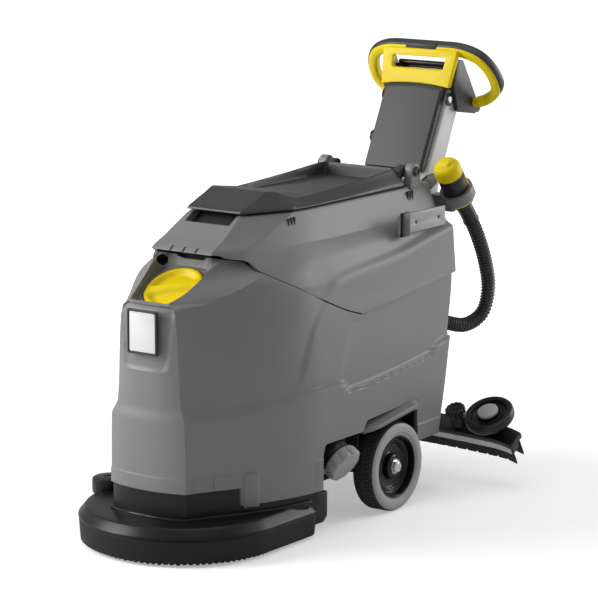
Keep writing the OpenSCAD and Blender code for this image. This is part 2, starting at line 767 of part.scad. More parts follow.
face_a = 58;
face_low = [console_rear, column_top_z - 62];
face_len = 98;
face_high = [face_low[0] - face_len * sin(90 - face_a), face_low[1] + face_len * cos(90 - face_a)];
lever_y = bar_y + 14;
lever_z = bar_z - 46;
function behind(z) = panel_y(z) + panel_t + seat;
module console() {
  z1 = face_high[1];
  drop = (top_rear[1] - column_top_z) / (top_rear[0] - column_top_y);
  base_y = behind(panel_low) + 1;
  base_z = column_top_z + drop * (base_y - column_top_y) + seat;
  color([0.24, 0.245, 0.26]) at_axle() difference() {
    union() {
      slab(-col_x - 2, col_x + 2, [[base_y, base_z], [top_rear[0] + 1, top_rear[1] + seat], [face_low[0] - 6,
          face_low[1] - 12], face_low,
        face_high, [behind(z1), z1], [behind(panel_low), panel_low]]);
      pair() slab(col_x + seat, cheek_x, [[behind(panel_low), panel_low],
          [behind(panel_low) + 18, column_top_z - 58], [face_low[0] - 8, face_low[1] - 8], face_low,
        [face_low[0] - 76, face_low[1] + 120], [behind(face_low[1] + 120), face_low[1] + 120]]);
      rod(-cheek_x + 1, cheek_x - 1, lever_y, lever_z, 4);
    }
    pair() on_face(40, -20) cylinder(h = 30, r = 6);
  }
}

module on_face(x, s) {
  translate([x, (face_low[0] + face_high[0]) / 2, (face_low[1] + face_high[1]) / 2])
      rotate([-face_a, 0, 0])
    translate([0, 0, s]) children();
}

module control_panel() {
  color([0.16, 0.16, 0.17]) at_axle() difference() {
    on_face(0, seat) translate([-74, -29, 0]) cube([148, 58, 3]);
    pair() on_face(40, -5) cylinder(h = 20, r = 4 + run);
  }
}

module gauge_lens() {
  color([0.3, 0.5, 0.35]) at_axle() on_face(0, 3 + 2 * seat) cylinder(h = 2, r = 10);
}

module knob_on_face(x) {
  on_face(x, -8) cylinder(h = 14, r = 4);
  on_face(x, 3 + 2 * seat) cylinder(h = 8, r = 18);
  on_face(x, 10) intersection() {
    cylinder(h = 12, r = 16);
    translate([-5, -20, 0]) cube([10, 40, 12]);
  }
}
module program_switch() {
  color([0.1, 0.1, 0.11]) at_axle() knob_on_face(40);
}
module water_knob() {
  color([0.1, 0.2, 0.4]) at_axle() knob_on_face(-40);
}

module drive_lever() {
  bar = [lever_y - 12, lever_z + 10];
  color([0.05, 0.05, 0.05]) at_axle() difference() {
    union() {
      rod(-70, 70, bar[0], bar[1], 6);
      pair() slab(58, 68, [[bar[0], bar[1] - 5], [lever_y, lever_z - 7], [lever_y, lever_z + 7],
          [bar[0], bar[1] + 5]]);
      pair() rod(56, 70, lever_y, lever_z, 8);
    }
    rod(-100, 100, lever_y, lever_z, 4 + run);
  }
}

// Squeegee lift lever on the column's right side
lift_z = column_top_z - 125;
lift_y = col_front(lift_z) + 29;
module lift_lever() {
  color([0.08, 0.08, 0.09]) at_axle() mirror([1, 0, 0]) difference() {
    union() {
      rod(col_x + 1, col_x + 10, lift_y, lift_z, 15);
      slab(col_x + 2, col_x + 9, [[lift_y, lift_z - 9], [lift_y + 96, lift_z - 43], [lift_y + 96,
          lift_z - 27], [lift_y, lift_z + 9]]);
      rod(col_x + 1, col_x + 24, lift_y + 96, lift_z - 35, 11);
    }
    rod(col_x - 5, col_x + 30, lift_y, lift_z, 6 + run);
  }
}
module lever_pin() {
  color([0.7, 0.71, 0.73]) at_axle() mirror([1, 0, 0]) {
    rod(col_x + seat, col_x + 14, lift_y, lift_z, 6);
    rod(col_x + 10 + seat, col_x + 15, lift_y, lift_z, 10);
  }
}

// Drain hose: end barrel held in a ring beside the column, hose hanging down to the base's rear
barrel_a = 37;
barrel_y = body_rear + 66;
barrel_z = tank_top_z - 40;
module on_barrel(s) {
  translate([barrel_x, barrel_y, barrel_z]) rotate([barrel_a, 0, 0]) translate([0, 0, s]) children();
}
module hose_bracket() {
  color([0.42, 0.43, 0.45]) at_axle() difference() {
    union() {
      on_barrel(0) cylinder(h = 26, r = barrel_r + 9);
      slab(col_x + seat, barrel_x, [[column_y + 36, barrel_z - 32], [column_y + 82, barrel_z - 32],
          [column_y + 72, barrel_z + 4],
        [column_y + 30, barrel_z + 4]]);
    }
    on_barrel(-60) cylinder(h = 160, r = barrel_r + 0.4);
  }
}
module drain_barrel() {
  color([0.05, 0.05, 0.06]) at_axle() difference() {
    on_barrel(-16) cylinder(h = 86, r = barrel_r);
    on_barrel(-17) cylinder(h = 30, r = hose_d / 2 - 3);
    on_barrel(56) cylinder(h = 30, r = barrel_r - 8);
  }
}
module drain_cap() {
  color([0.93, 0.78, 0.1]) at_axle() {
    on_barrel(70 + seat) cylinder(h = 34, r = barrel_r + 2);
    on_barrel(60) cylinder(h = 14, r = barrel_r - 8 - run);
    on_barrel(104) translate([-barrel_r, -6, 0]) cube([2 * barrel_r, 12, 8]);
  }
}

hose_end = [120, 312, 372];
hose_start = [barrel_x, barrel_y + 16 * sin(barrel_a), barrel_z - 16 * cos(barrel_a)];
hose_route = [hose_start, [156, 396, 606], [164, 424, 553], [169, 450, 490], [170, 464, 425], [164,
    448, 368],
  [148, 402, 345], [130, 350, 356], hose_end];
module drain_hose() {
  dir = [0, sin(barrel_a), -cos(barrel_a)];
  p = smooth(hose_route, 2);
  color([0.06, 0.06, 0.07]) at_axle()
    tube(concat([hose_start + dir * 0.1, hose_start + dir * 12], [for (i = [1:len(p) - 2]) p[i]],
        [hose_end + [0, 12, 0], hose_end]),
      hose_d / 2, 12, [1, 0, 0]);
}
module drain_spigot() {
  color([0.1, 0.1, 0.11]) at_axle() translate([120, 0, 372]) rotate([-90, 0, 0]) {
    translate([0, 0, body_rear - 40]) cylinder(h = 312.2 - body_rear + 27.4 - seat, r = 12);
    translate([0, 0, rear_at(372) + 5]) cylinder(h = 312 - seat - rear_at(372) - 5, r = hose_d / 2 + 2);
  }
}

// Squeegee, laid out in its lowered place and turned up by lift_angle about its pivot
sq_half = squeegee_w / 2;
sq_y = 322;
function bow(x) = let (u = abs(x) / sq_half, e = max(0, (u - 0.82) / 0.18))
    sq_y - 14 * u * u - 10 * e * e;
stops = [for (i = [-14:14]) let (t = i / 14) sign(t) * sq_half * (1 - pow(1 - abs(t), 1.4))];
module strip(front, back, z0, z1, x = 1) {
  w = sq_half * x;
  p = [for (s = stops) max(-w, min(w, s))];
  a = [for (s = p) [s, bow(s) + back]];
  b = [for (i = [len(p) - 1:-1:0]) [p[i], bow(p[i]) + front]];
  translate([0, 0, z0]) linear_extrude(height = z1 - z0) polygon(concat(b, a));
}
module raised() {
  at_axle() translate([0, pivot_y, pivot_z]) rotate([lift_angle, 0, 0]) translate([0, -pivot_y,
      -pivot_z]) children();
}
knob_x = 190;
roller_x = 280;
roller_y = bow(roller_x) + 8;
roller_r = roller_d / 2;
post_r = 8;
module squeegee_arms() {
  color([0.09, 0.09, 0.1]) raised() pair() difference() {
    union() {
      slab(rail_x0 - 16, rail_x0 - seat, [[pivot_y, pivot_z + 10], [296, 74], [sq_y + 8, 74],
          [sq_y + 8, 60 + seat], [288, 60 + seat],
        [pivot_y, pivot_z - 12]]);
      rod(rail_x0 - 18, rail_x0 - seat, pivot_y, pivot_z, 16);
    }
    rod(0, 300, pivot_y, pivot_z, pivot_r + run);
  }
}
module squeegee_pin() {
  color([0.7, 0.71, 0.73]) at_axle() {
    rod(-rail_x1 - 3, rail_x1 + 3, pivot_y, pivot_z, pivot_r);
    pair() rod(rail_x1 + seat, rail_x1 + 6, pivot_y, pivot_z, pivot_r + 4);
  }
}
module squeegee_bar() {
  color([0.07, 0.07, 0.08]) raised() difference() {
    union() {
      strip(-26, 22, 48, 60);
      strip(-17, 11, 28, 49, 0.98);
      pair() translate([knob_x, bow(knob_x), 59]) cylinder(h = 31, r = 19);
      pair() translate([roller_x, roller_y, 59]) cylinder(h = 26, r = 22);
      box(-60, 60, bow(0) - 24, bow(0) + 20, 59, 66);
    }
    pair() translate([roller_x, roller_y, 40]) cylinder(h = 60, r = post_r + run);
    pair() translate([knob_x, bow(knob_x), 40]) cylinder(h = 60, r = 5 + run);
    translate([0, bow(0) - 2, 20]) cylinder(h = 60, r = spigot_d / 2 - 4);
  }
}
module front_blade() {
  color([0.05, 0.05, 0.05]) raised() difference() {
    strip(-21.4, -17 - seat, 0.5, 48 - seat, 0.985);
    for (i = [-11:11]) translate([i * 29 - 3, 200, -1]) cube([6, 100, 5]);
  }
}
module rear_blade() {
  color([0.05, 0.05, 0.05]) raised() strip(11 + seat, 15.4, 0.2, 48 - seat, 0.985);
}
module blade_strip() {
  color([0.72, 0.73, 0.74]) raised() strip(-25, -21.4 - seat, 30, 48 - seat, 0.98);
}
// Elbow that leads the suction hose rearwards
elbow_z = 22;
elbow_tilt = 45;
module suction_port() {
  color([0.08, 0.08, 0.09]) raised() translate([0, bow(0) - 2, 66 + seat]) difference() {
    union() {
      cylinder(h = 6, r = spigot_d / 2 + 8);
      cylinder(h = elbow_z, r = spigot_d / 2 + 2);
      translate([0, 0, elbow_z]) sphere(r = spigot_d * 0.625);
      translate([0, 0, elbow_z]) rotate([-elbow_tilt, 0, 0]) cylinder(h = spigot_d * 1.55, r = spigot_d / 2);
    }
    translate([0, 0, -1]) cylinder(h = elbow_z + 1, r = spigot_d / 2 - 4);
    translate([0, 0, elbow_z]) sphere(r = spigot_d / 2 - 2.5);
    translate([0, 0, elbow_z]) rotate([-elbow_tilt, 0, 0]) cylinder(h = 90, r = spigot_d / 2 - 3);
  }
}
module roller_pins() {
  color([0.5, 0.51, 0.53]) raised() pair() translate([roller_x, roller_y, 0]) {
    translate([0, 0, 48]) cylinder(h = 66, r = post_r);
    translate([0, 0, 110 + seat]) cylinder(h = 6, r = 24);
  }
}
module roller(x) {
  color([0.08, 0.08, 0.09]) raised() translate([x, roller_y, 85 + seat]) rotate_extrude()
    polygon([[post_r + run, 0], [roller_r - 6, 0], [roller_r, 5], [roller_r, 20], [roller_r - 6,
        25 - seat], [post_r + run, 25 - seat]]);
}
module left_roller() {
  roller(roller_x);
}
module right_roller() {
  roller(-roller_x);
}
module hand_knob(x) {
  color([0.06, 0.06, 0.07]) raised() translate([x, bow(knob_x), 0]) {
    translate([0, 0, 62]) cylinder(h = 34, r = 5);
    translate([0, 0, 90 + seat]) cylinder(h = 18, r = 21);
    for (i = [0:9]) rotate(36 * i) translate([20, 0, 90 + seat]) cylinder(h = 18, r = 4, $fn = 24);
  }
}
module left_knob() {
  hand_knob(knob_x);
}
module right_knob() {
  hand_knob(-knob_x);
}

chassis_frame();
base_tank();
front_plate();
brush_deck();
deck_skirt();
gear_motor();
drive_shaft();
brush_disc();
bristle_ring();
axle();
axle_nuts();
left_rim();
left_tyre();
right_rim();
right_tyre();
vacuum_motor();
battery_pack();
control_unit();
filter_housing();
filter_cap();
fill_cap();
waste_tank();
float_cage();
accessory_rail();
rail_clip();
tank_lid();
lid_seal();
lid_pins();
tank_hinges();
column_shell();
column_cover();
column_bolts();
console();
control_panel();
gauge_lens();
program_switch();
water_knob();
drive_lever();
handle_frame();
handle_grip();
lift_lever();
lever_pin();
hose_bracket();
drain_barrel();
drain_cap();
drain_hose();
drain_spigot();
squeegee_arms();
squeegee_pin();
squeegee_bar();
front_blade();
rear_blade();
blade_strip();
suction_port();
roller_pins();
left_roller();
right_roller();
left_knob();
right_knob();
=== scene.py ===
"""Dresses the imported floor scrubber: moulded shells, handle, hose, wheels and finishes."""

import json
import math
from contextlib import contextmanager

import bmesh
import bpy
import numpy as np
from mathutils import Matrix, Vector


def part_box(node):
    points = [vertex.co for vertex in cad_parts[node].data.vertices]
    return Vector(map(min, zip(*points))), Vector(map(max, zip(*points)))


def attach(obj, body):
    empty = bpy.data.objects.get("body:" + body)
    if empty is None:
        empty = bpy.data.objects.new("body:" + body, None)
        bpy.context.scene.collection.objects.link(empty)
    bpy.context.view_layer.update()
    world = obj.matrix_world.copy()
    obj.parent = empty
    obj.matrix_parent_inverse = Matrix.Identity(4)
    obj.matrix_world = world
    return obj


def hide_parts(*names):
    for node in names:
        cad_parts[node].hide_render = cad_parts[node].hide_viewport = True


bl_info = {
    "name": "Floor scrubber dressing",
    "version": (1, 0, 0),
    "blender": (4, 5, 0),
    "location": "View3D > Sidebar > Scrubber",
    "description": "Builds the visible shells, fittings and finishes of a walk-behind floor scrubber",
    "category": "Add Mesh",
}

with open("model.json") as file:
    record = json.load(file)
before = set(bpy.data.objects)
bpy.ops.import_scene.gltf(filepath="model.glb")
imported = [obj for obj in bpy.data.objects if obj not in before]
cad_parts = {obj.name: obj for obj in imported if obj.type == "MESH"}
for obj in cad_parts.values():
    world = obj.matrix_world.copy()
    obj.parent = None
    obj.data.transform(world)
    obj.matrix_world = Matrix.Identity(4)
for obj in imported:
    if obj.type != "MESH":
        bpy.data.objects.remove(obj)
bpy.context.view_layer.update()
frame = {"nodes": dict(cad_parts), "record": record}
NODES = frame["nodes"]
MM = 0.001
SHARP, NODE_SHARP = 34, 28
SIDES = ((1, "left"), (-1, "right"))


def middle(node):
    """Centre of a CAD node's box, in millimetres."""
    low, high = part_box(node)
    return (np.array(low) + np.array(high)) * 500


# Lengths below are millimetres, with y measured from the wheel axle and z from the floor
AXLE_Y = middle("axle")[1]
BRUSH_AT = np.array([0, -460.0])
WHEEL_X, WHEEL_Z = 177, 100
FILTER_AXIS = (0.8387, 0, -0.5446)
BARREL_AT = np.array([152, 364, 650.0])
BARREL_UP = np.array([0, -0.601815, 0.798636])


def to_row(points):
    """Millimetres from the axle to metres in the row frame."""
    p = np.array(points, float)
    p[..., 1] += AXLE_Y
    return p * MM


# Curves and outlines


def smooth_table(*pairs):
    """Curve without overshoot through (place, value) pairs, flat beyond its ends."""
    x, y = np.array(pairs, float).T
    h = np.diff(x)
    d = np.diff(y) / h
    m = np.concatenate([d[:1], np.zeros(len(x) - 2), d[-1:]])
    for i in range(1, len(x) - 1):
        if d[i - 1] * d[i] > 0:
            m[i] = 3 * (h[i - 1] + h[i]) / ((2 * h[i] + h[i - 1]) / d[i - 1] + (h[i] + 2 * h[i - 1]) / d[i])

    def value(q):
        q = np.clip(np.asarray(q, float), x[0], x[-1])
        i = np.clip(np.searchsorted(x, q, "right") - 1, 0, len(x) - 2)
        t = (q - x[i]) / h[i]
        return (y[i] * (1 + 2 * t) * (1 - t) ** 2 + m[i] * h[i] * t * (1 - t) ** 2
                + y[i + 1] * t * t * (3 - 2 * t) + m[i + 1] * h[i] * t * t * (t - 1))
    return value


def straight(*pairs):
    """Straight lines through (place, value) pairs, flat beyond their ends."""
    x, y = np.array(pairs, float).T
    return lambda q: np.interp(q, x, y)


def ease(low, high, v):
    """Smooth rise from 0 at low to 1 at high."""
    t = np.clip((np.asarray(v, float) - low) / (high - low), 0, 1)
    return t * t * (3 - 2 * t)


def spline(points, per):
    """Catmull-Rom curve through points, with per steps to each stretch."""
    p = np.array(points, float)
    out = []
    for i in range(len(p) - 1):
        a, b, c, d = p[max(i - 1, 0)], p[i], p[i + 1], p[min(i + 2, len(p) - 1)]
        for t in np.linspace(0, 1, per, endpoint=False):
            out.append(b + 0.5 * t * (c - a + t * (2 * a - 5 * b + 4 * c - d + t * (3 * (b - c) + d - a))))
    return np.array(out + [p[-1]])


def even(points, step):
    """The same line with points an even step apart."""
    p = np.array(points, float)
    s = np.concatenate([[0], np.cumsum(np.linalg.norm(np.diff(p, axis=0), axis=1))])
    q = np.linspace(0, s[-1], max(2, int(round(s[-1] / step)) + 1))
    return np.stack([np.interp(q, s, p[:, k]) for k in range(p.shape[1])], 1)


def rounded(corners, r, n=6):
    """Polygon with each corner turned into an arc-like curve of reach r."""
    p = np.array(corners, float)
    out = []
    for i in range(len(p)):
        a, b, c = p[i - 1], p[i], p[(i + 1) % len(p)]
        ra = min(r, np.linalg.norm(a - b) * 0.49)
        rc = min(r, np.linalg.norm(c - b) * 0.49)
        s, e = b + (a - b) / np.linalg.norm(a - b) * ra, b + (c - b) / np.linalg.norm(c - b) * rc
        for t in np.linspace(0, 1, n):
            out.append((1 - t) ** 2 * s + 2 * t * (1 - t) * b + t * t * e)
    return np.array(out)


def oblong(low, high):
    """Corners of the rectangle between two opposite ones."""
    (a, b), (c, d) = low, high
    return [(a, b), (c, b), (c, d), (a, d)]


def circle(r, n):
    """n points of a circle round the origin."""
    a = np.linspace(0, 2 * math.pi, n, endpoint=False)
    return np.stack([r * np.cos(a), r * np.sin(a)], 1)


def levels(*runs):
    """Ring heights from runs of (start, stop, step)."""
    return np.unique(np.concatenate([np.arange(*run) for run in runs]))


# Mesh helpers


def add_object(name, data):
    """Object that is linked to the scene."""
    obj = bpy.data.objects.new(name, data)
    bpy.context.scene.collection.objects.link(obj)
    return obj


@contextmanager
def editing(data):
    """A mesh opened for editing, and written back afterwards."""
    bm = bmesh.new()
    bm.from_mesh(data)
    yield bm
    bm.to_mesh(data)
    bm.free()


def shade(obj, angle=SHARP):
    """Smooth shading, with edges sharper than angle kept."""
    obj.data.shade_smooth()
    obj.data.set_sharp_from_angle(angle=math.radians(angle))


def make_mesh(name, points, faces, angle=SHARP):
    """Closed mesh from points in millimetres, with faces turned outwards."""
    data = bpy.data.meshes.new(name)
    data.from_pydata(to_row(points).tolist(), [], [tuple(int(i) for i in f) for f in faces])
    with editing(data) as bm:
        bmesh.ops.remove_doubles(bm, verts=bm.verts, dist=1e-6)
        bmesh.ops.recalc_face_normals(bm, faces=bm.faces)
    obj = add_object(name, data)
    shade(obj, angle)
    return obj


def loft(name, rings, angle=SHARP, closed=False):
    """Skin through rings of equal count, capped at both ends unless it closes on itself."""
    r = np.array(rings, float)
    m, n = r.shape[:2]
    rows = range(m if closed else m - 1)
    faces = [(k * n + i, k * n + (i + 1) % n, (k + 1) % m * n + (i + 1) % n, (k + 1) % m * n + i)
             for k in rows for i in range(n)]
    if not closed:
        faces += [tuple(range(n)), tuple((m - 1) * n + i for i in range(n))]
    return make_mesh(name, r.reshape(-1, 3), faces, angle)


def prism(name, outline, low, high, axis=0, angle=SHARP):
    """Outline in the two other axes, drawn out along axis."""
    p = np.array(outline, float)
    return loft(name, [np.insert(p, axis, v, axis=1) for v in (low, high)], angle)


def about(axis, sides):
    """Unit axis, turn angles, and the ring of unit directions round the axis."""
    z = Vector(axis).normalized()
    x = z.orthogonal().normalized()
    turn = np.linspace(0, 2 * math.pi, sides, endpoint=False)
    return np.array(z), turn, np.outer(np.cos(turn), x) + np.outer(np.sin(turn), z.cross(x))


def turned(name, profile, at, axis, sides=64, angle=SHARP):
    """Closed profile of (radius, height) pairs turned about axis through at."""
    z, _, ring = about(axis, sides)
    return loft(name, [np.array(at) + r * ring + h * z for r, h in profile], angle, closed=True)


def fluted(name, profile, at, axis, flutes, depth, sides=120, angle=SHARP):
    """Turned piece whose rim is scalloped; profile rows are (radius, height, share of the scallop)."""
    z, turn, ring = about(axis, sides)
    wave = np.abs(np.cos(turn * flutes / 2)) ** 0.8
    rings = [np.array(at) + (r - depth * share * (1 - wave))[:, None] * ring + h * z for r, h, share in profile]
    return loft(name, rings, angle, closed=True)


def directions(path, across):
    """Side and up direction at each point of path, with the side kept near the across direction."""
    for i in range(len(path)):
        t = Vector(path[min(i + 1, len(path) - 1)] - path[max(i - 1, 0)]).normalized()
        up = t.cross(Vector(across)).normalized()
        yield np.array(up.cross(t)), np.array(up)


def sweep(name, path, section, across, angle=40, scale=None):
    """Section of (side, up) pairs drawn along path."""
    p = np.array(path, float)
    scale = np.ones(len(p)) if scale is None else scale
    rings = [[at + k * (u * side + v * up) for u, v in section]
             for at, k, (side, up) in zip(p, scale, directions(p, across))]
    return loft(name, rings, angle)


def soften(obj, width, segments=2, angle=SHARP):
    """Round every edge sharper than angle by width millimetres."""
    with editing(obj.data) as bm:
        bmesh.ops.dissolve_limit(bm, angle_limit=math.radians(1), verts=bm.verts, edges=bm.edges)
        edges = [e for e in bm.edges if len(e.link_faces) == 2 and e.calc_face_angle(0) > math.radians(angle)]
        bmesh.ops.bevel(bm, geom=edges, offset=width * MM, segments=segments, profile=0.5, affect="EDGES",
                        clamp_overlap=True)
    shade(obj, 40)
    return obj


def carve(obj, *cutters, operation="DIFFERENCE", angle=SHARP):
    """Cut (or add) solids, which are used up."""
    for c in cutters:
        m = obj.modifiers.new("carve", "BOOLEAN")
        m.operation, m.solver, m.object = operation, "EXACT", c
    data = bpy.data.meshes.new_from_object(obj.evaluated_get(bpy.context.evaluated_depsgraph_get()))
    obj.modifiers.clear()
    old, obj.data = obj.data, data
    for used in (old, *[c.data for c in cutters]):
        bpy.data.meshes.remove(used)
    if not obj.data.polygons:
        raise RuntimeError(f"{obj.name}: nothing is left after carving")
    shade(obj, angle)
    return obj


def joined(name, *objs):
    """Several meshes as one object."""
    data = bpy.data.meshes.new(name)
    with editing(data) as bm:
        for o in objs:
            bm.from_mesh(o.data)
    for o in objs:
        bpy.data.meshes.remove(o.data)
    return add_object(name, data)


def both_sides(name, obj):
    """The piece and its mirror image across the machine, as one object."""
    with editing(obj.data) as bm:
        twin = bmesh.ops.duplicate(bm, geom=bm.verts[:] + bm.edges[:] + bm.faces[:])["geom"]
        for v in [g for g in twin if isinstance(g, bmesh.types.BMVert)]:
            v.co.x = -v.co.x
        bmesh.ops.reverse_faces(bm, faces=[g for g in twin if isinstance(g, bmesh.types.BMFace)])
    obj.name = obj.data.name = name
    return obj


def fit(obj, body, slot, finish, *nodes):
    """Ride, finish and stand for CAD nodes."""
    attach(obj, body)
    obj.data.materials.clear()
    obj.data.materials.append(FINISH[finish])
    if nodes:
        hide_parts(*nodes)
    return obj


def refine(node, name, width, segments, body, slot, finish):
    """Copy of a CAD node with rounded edges, standing for that node."""
    data = NODES[node].data.copy()
    data.materials.clear()
    obj = add_object(name, data)
    with editing(data) as bm:
        bmesh.ops.remove_doubles(bm, verts=bm.verts, dist=2e-6)
    return fit(soften(obj, width, segments, NODE_SHARP), body, slot, finish, node)


# Finishes

FINISH = {}
SLOT_FINISH = {
    "body_grey": "body", "lid_grey": "lid", "black_plastic": "black", "yellow_plastic": "yellow",
    "light_grey": "light", "black_rubber": "rubber", "grey_tyre": "tyre", "red_bristle": "bristle",
    "steel": "steel", "white_plate": "plate", "motor_grey": "motor", "frame_black": "frame", "lens": "lens",
}


def shader(name):
    """New material, its node tree and its shader."""
    mat = bpy.data.materials.new(name)
    mat.use_nodes = True
    return mat, mat.node_tree, mat.node_tree.nodes["Principled BSDF"]


def add_node(tree, kind, inputs=(), **settings):
    """New node with its settings, then its (socket, value) inputs."""
    node = tree.nodes.new(kind)
    for key, value in settings.items():
        setattr(node, key, value)
    for key, value in inputs:
        node.inputs[key].default_value = value
    return node


def connect(tree, *wires):
    """Wires of (node, output, node, input)."""
    for source, out, target, into in wires:
        tree.links.new(source.outputs[out], target.inputs[into])


def moulded(name, colour, rough=0.45, grain=1400, depth=0.00004, cloud=0.10, metal=0.0, coat=0.0, shine=0.5):
    """Moulded or coated surface: fine grain in the relief, faint clouding in colour and gloss."""
    mat, tree, bsdf = shader(name)
    place = add_node(tree, "ShaderNodeTexCoord")
    fine = add_node(tree, "ShaderNodeTexNoise", (("Scale", grain), ("Detail", 2)))
    broad = add_node(tree, "ShaderNodeTexNoise", (("Scale", 9), ("Detail", 5)))
    tone = add_node(tree, "ShaderNodeMix", (("A", [c * (1 - cloud) for c in colour[:3]] + [1]),
                                            ("B", [min(1, c * (1 + cloud)) for c in colour[:3]] + [1])),
                    data_type="RGBA")
    gloss = add_node(tree, "ShaderNodeMapRange", (("To Min", rough - 0.06), ("To Max", rough + 0.06)))
    bump = add_node(tree, "ShaderNodeBump", (("Strength", 0.6), ("Distance", depth)))
    connect(tree, (place, "Object", fine, "Vector"), (place, "Object", broad, "Vector"),
            (broad, "Fac", tone, "Factor"), (tone, "Result", bsdf, "Base Color"),
            (fine, "Fac", gloss, "Value"), (gloss, "Result", bsdf, "Roughness"),
            (fine, "Fac", bump, "Height"), (bump, "Normal", bsdf, "Normal"))
    bsdf.inputs["Metallic"].default_value = metal
    bsdf.inputs["Coat Weight"].default_value = coat
    bsdf.inputs["Specular IOR Level"].default_value = shine
    return mat


def mix_finishes():
    """Every finish of the machine, from the colours in the panel."""
    c = bpy.context.scene.scrubber_colours
    FINISH.update(
        body=moulded("satin_grey_moulding", c.body, 0.46, 1500, 0.00005, 0.05),
        lid=moulded("dark_grey_moulding", c.lid, 0.44, 1500, 0.00005, 0.06),
        black=moulded("black_moulding", c.black, 0.38, 1200, 0.00004, 0.12, shine=0.36),
        yellow=moulded("yellow_moulding", c.yellow, 0.42, 900, 0.00002, 0.03, shine=0.25),
        light=moulded("light_grey_moulding", c.light, 0.42, 1500, 0.00004, 0.03),
        rubber=moulded("black_rubber", c.rubber, 0.62, 700, 0.00009, 0.15, shine=0.22),
        hose=moulded("ribbed_hose_black", [v * 2.2 for v in c.rubber], 0.4, 900, 0.00004, 0.12),
        tyre=moulded("grey_tyre_rubber", c.tyre, 0.6, 600, 0.0001, 0.08),
        tread=moulded("worn_tread_rubber", c.tread, 0.7, 500, 0.00015, 0.2),
        bristle=moulded("red_bristle", c.bristle, 0.5, 2500, 0.0001, 0.25),
        deck=moulded("glossy_black_moulding", [v * 0.6 for v in c.black], 0.34, 1100, 0.00004, 0.12, shine=0.26),
        rim=moulded("gloss_black_rim", [v * 0.45 for v in c.black], 0.26, 900, 0.00003, 0.12, shine=0.32),
        rail=moulded("pale_grey_rail", c.rail, 0.4, 1300, 0.00004, 0.05),
        steel=moulded("zinc_plated_steel", c.steel, 0.28, 300, 0.00002, 0.1, metal=1.0),
        plate=moulded("white_plate", c.plate, 0.3, 800, 0.00002, 0.02, coat=0.2),
        motor=moulded("painted_motor", (0.05, 0.055, 0.06), 0.4, 500, 0.00006, 0.2),
        frame=moulded("powder_coat_black", (0.016, 0.016, 0.018), 0.5, 900, 0.0001, 0.2),
        lens=moulded("tinted_lens", (0.05, 0.16, 0.07), 0.12, 300, 0.00001, 0.1, coat=0.5),
        # Near-black finish of the linings: painted shade in the arches, the finger grip, the hatch hole and the finger
        # recess
        dark=moulded("dark_inside", (0.01, 0.01, 0.011), 0.7, 500, 0.0001, 0.2),
    )


# Body shape: its tables are read by height, apart from the ledge's and the shoulder's, which are read by y

FRONT_Y = -604
CREASE_Y = -585
LEDGE_STEP, PLATE_STEP, TROUGH_STEP, PANEL_STEP, HEM_STEP = 6.5, 4.5, 4.5, 2.2, 1.5
base_wide = smooth_table((112, -265), (560, -265), (620, -190), (690, -150))
base_half = smooth_table((102, 222), (290, 222), (330, 222.5), (460, 213), (530, 203), (560, 194), (590, 177),
                         (650, 160))
base_crease = smooth_table((102, 100), (288, 97), (322, 88), (490, 78), (528, 71), (690, 68))
base_front = smooth_table((102, 0), (500, 1), (518, 3), (526, 9), (532, 18), (538, 28), (613, 161), (650, 227))
base_rim = smooth_table((102, 100), (288, 97), (322, 88), (490, 78), (522, 72), (535, 56), (613, 92), (650, 110))
base_nose = smooth_table((102, 19), (515, 17), (526, 12), (538, 0), (700, 0))
base_start = smooth_table((102, 43), (515, 43), (526, 60), (535, 100), (545, 125), (566, 178), (581, 220), (650, 360))
base_rear = smooth_table((102, 215), (250, 255), (360, 275), (492, 297), (530, 298), (700, 298))
base_side_in = smooth_table((112, 16), (320, 18), (490, 8), (600, 3), (690, 2))
ledge_top = straight((-640, 319), (-560, 318), (-493, 309), (-408, 314), (-306, 326), (-196, 328), (-162, 300),
                     (-78, 302), (45, 310), (173, 322), (182, 333), (199, 339), (252, 351), (340, 356))
ledge_run = straight((-640, 34), (-560, 33), (-493, 17), (-408, 8), (-300, 5), (340, 4.5))
trough_front = straight((330, -485), (367, -448), (409, -405), (450, -365), (487, -324), (520, -285), (560, -240))
trough_back = straight((330, -325), (346, -321), (379, -309), (415, -293), (451, -276), (477, -254), (497, -226),
                       (540, -190))
panel_front = straight((318, -197), (326, -194), (365, -176), (397, -161), (429, -148), (445, -135), (452, -100))
SEAM = [(-520, 622), (-480, 622), (-452, 620), (-436, 612), (-401, 604), (-381, 580), (-293, 534), (-206, 493),
        (-150, 471), (-110, 459), (-85, 456), (60, 470), (180, 483), (340, 498)]

hood_low = smooth_table((430, 209), (460, 208), (500, 203), (540, 199), (580, 196), (640, 193))
hood_band = smooth_table((540, 180), (600, 158), (624, 150), (655, 138), (690, 126))
shoulder_low = smooth_table((-440, 425), (-320, 450), (-260, 470), (-210, 500), (-185, 519), (-129, 532), (-33, 542),
                            (74, 555), (160, 573), (257, 590), (320, 598))
shoulder_top = smooth_table((-480, 616), (-355, 619), (-255, 626), (-122, 624), (65, 626), (146, 628), (276, 638),
                            (330, 642))
shoulder_turn = smooth_table((0, 0), (0.12, 0.05), (0.33, 0.44), (0.62, 0.58), (0.9, 0.88), (1, 1))
hood_front = smooth_table((430, -480), (530, -477), (600, -473), (622, -470.5), (628, -466), (634, -457),
                          (642, -436), (655, -413), (690, -356))
hood_rim = smooth_table((430, 80), (600, 81), (622, 80), (655, 77), (690, 70))
hood_facet_x = smooth_table((430, 165), (537, 150), (581, 130), (622, 117), (655, 121), (690, 122.5))
hood_facet_y = smooth_table((430, -440), (537, -440), (581, -430), (622, -404), (655, -328), (690, -240))


def steps(count, detail):
    """Points on a stretch of an outline, fewer where less detail is asked for."""
    return max(3, int(count * detail))


def facet(start, end, n):
    """Straight run of n points from start, stopping short of end."""
    k = np.linspace(0, 1, n, endpoint=False)[:, None]
    return np.array(start) * (1 - k) + np.array(end) * k


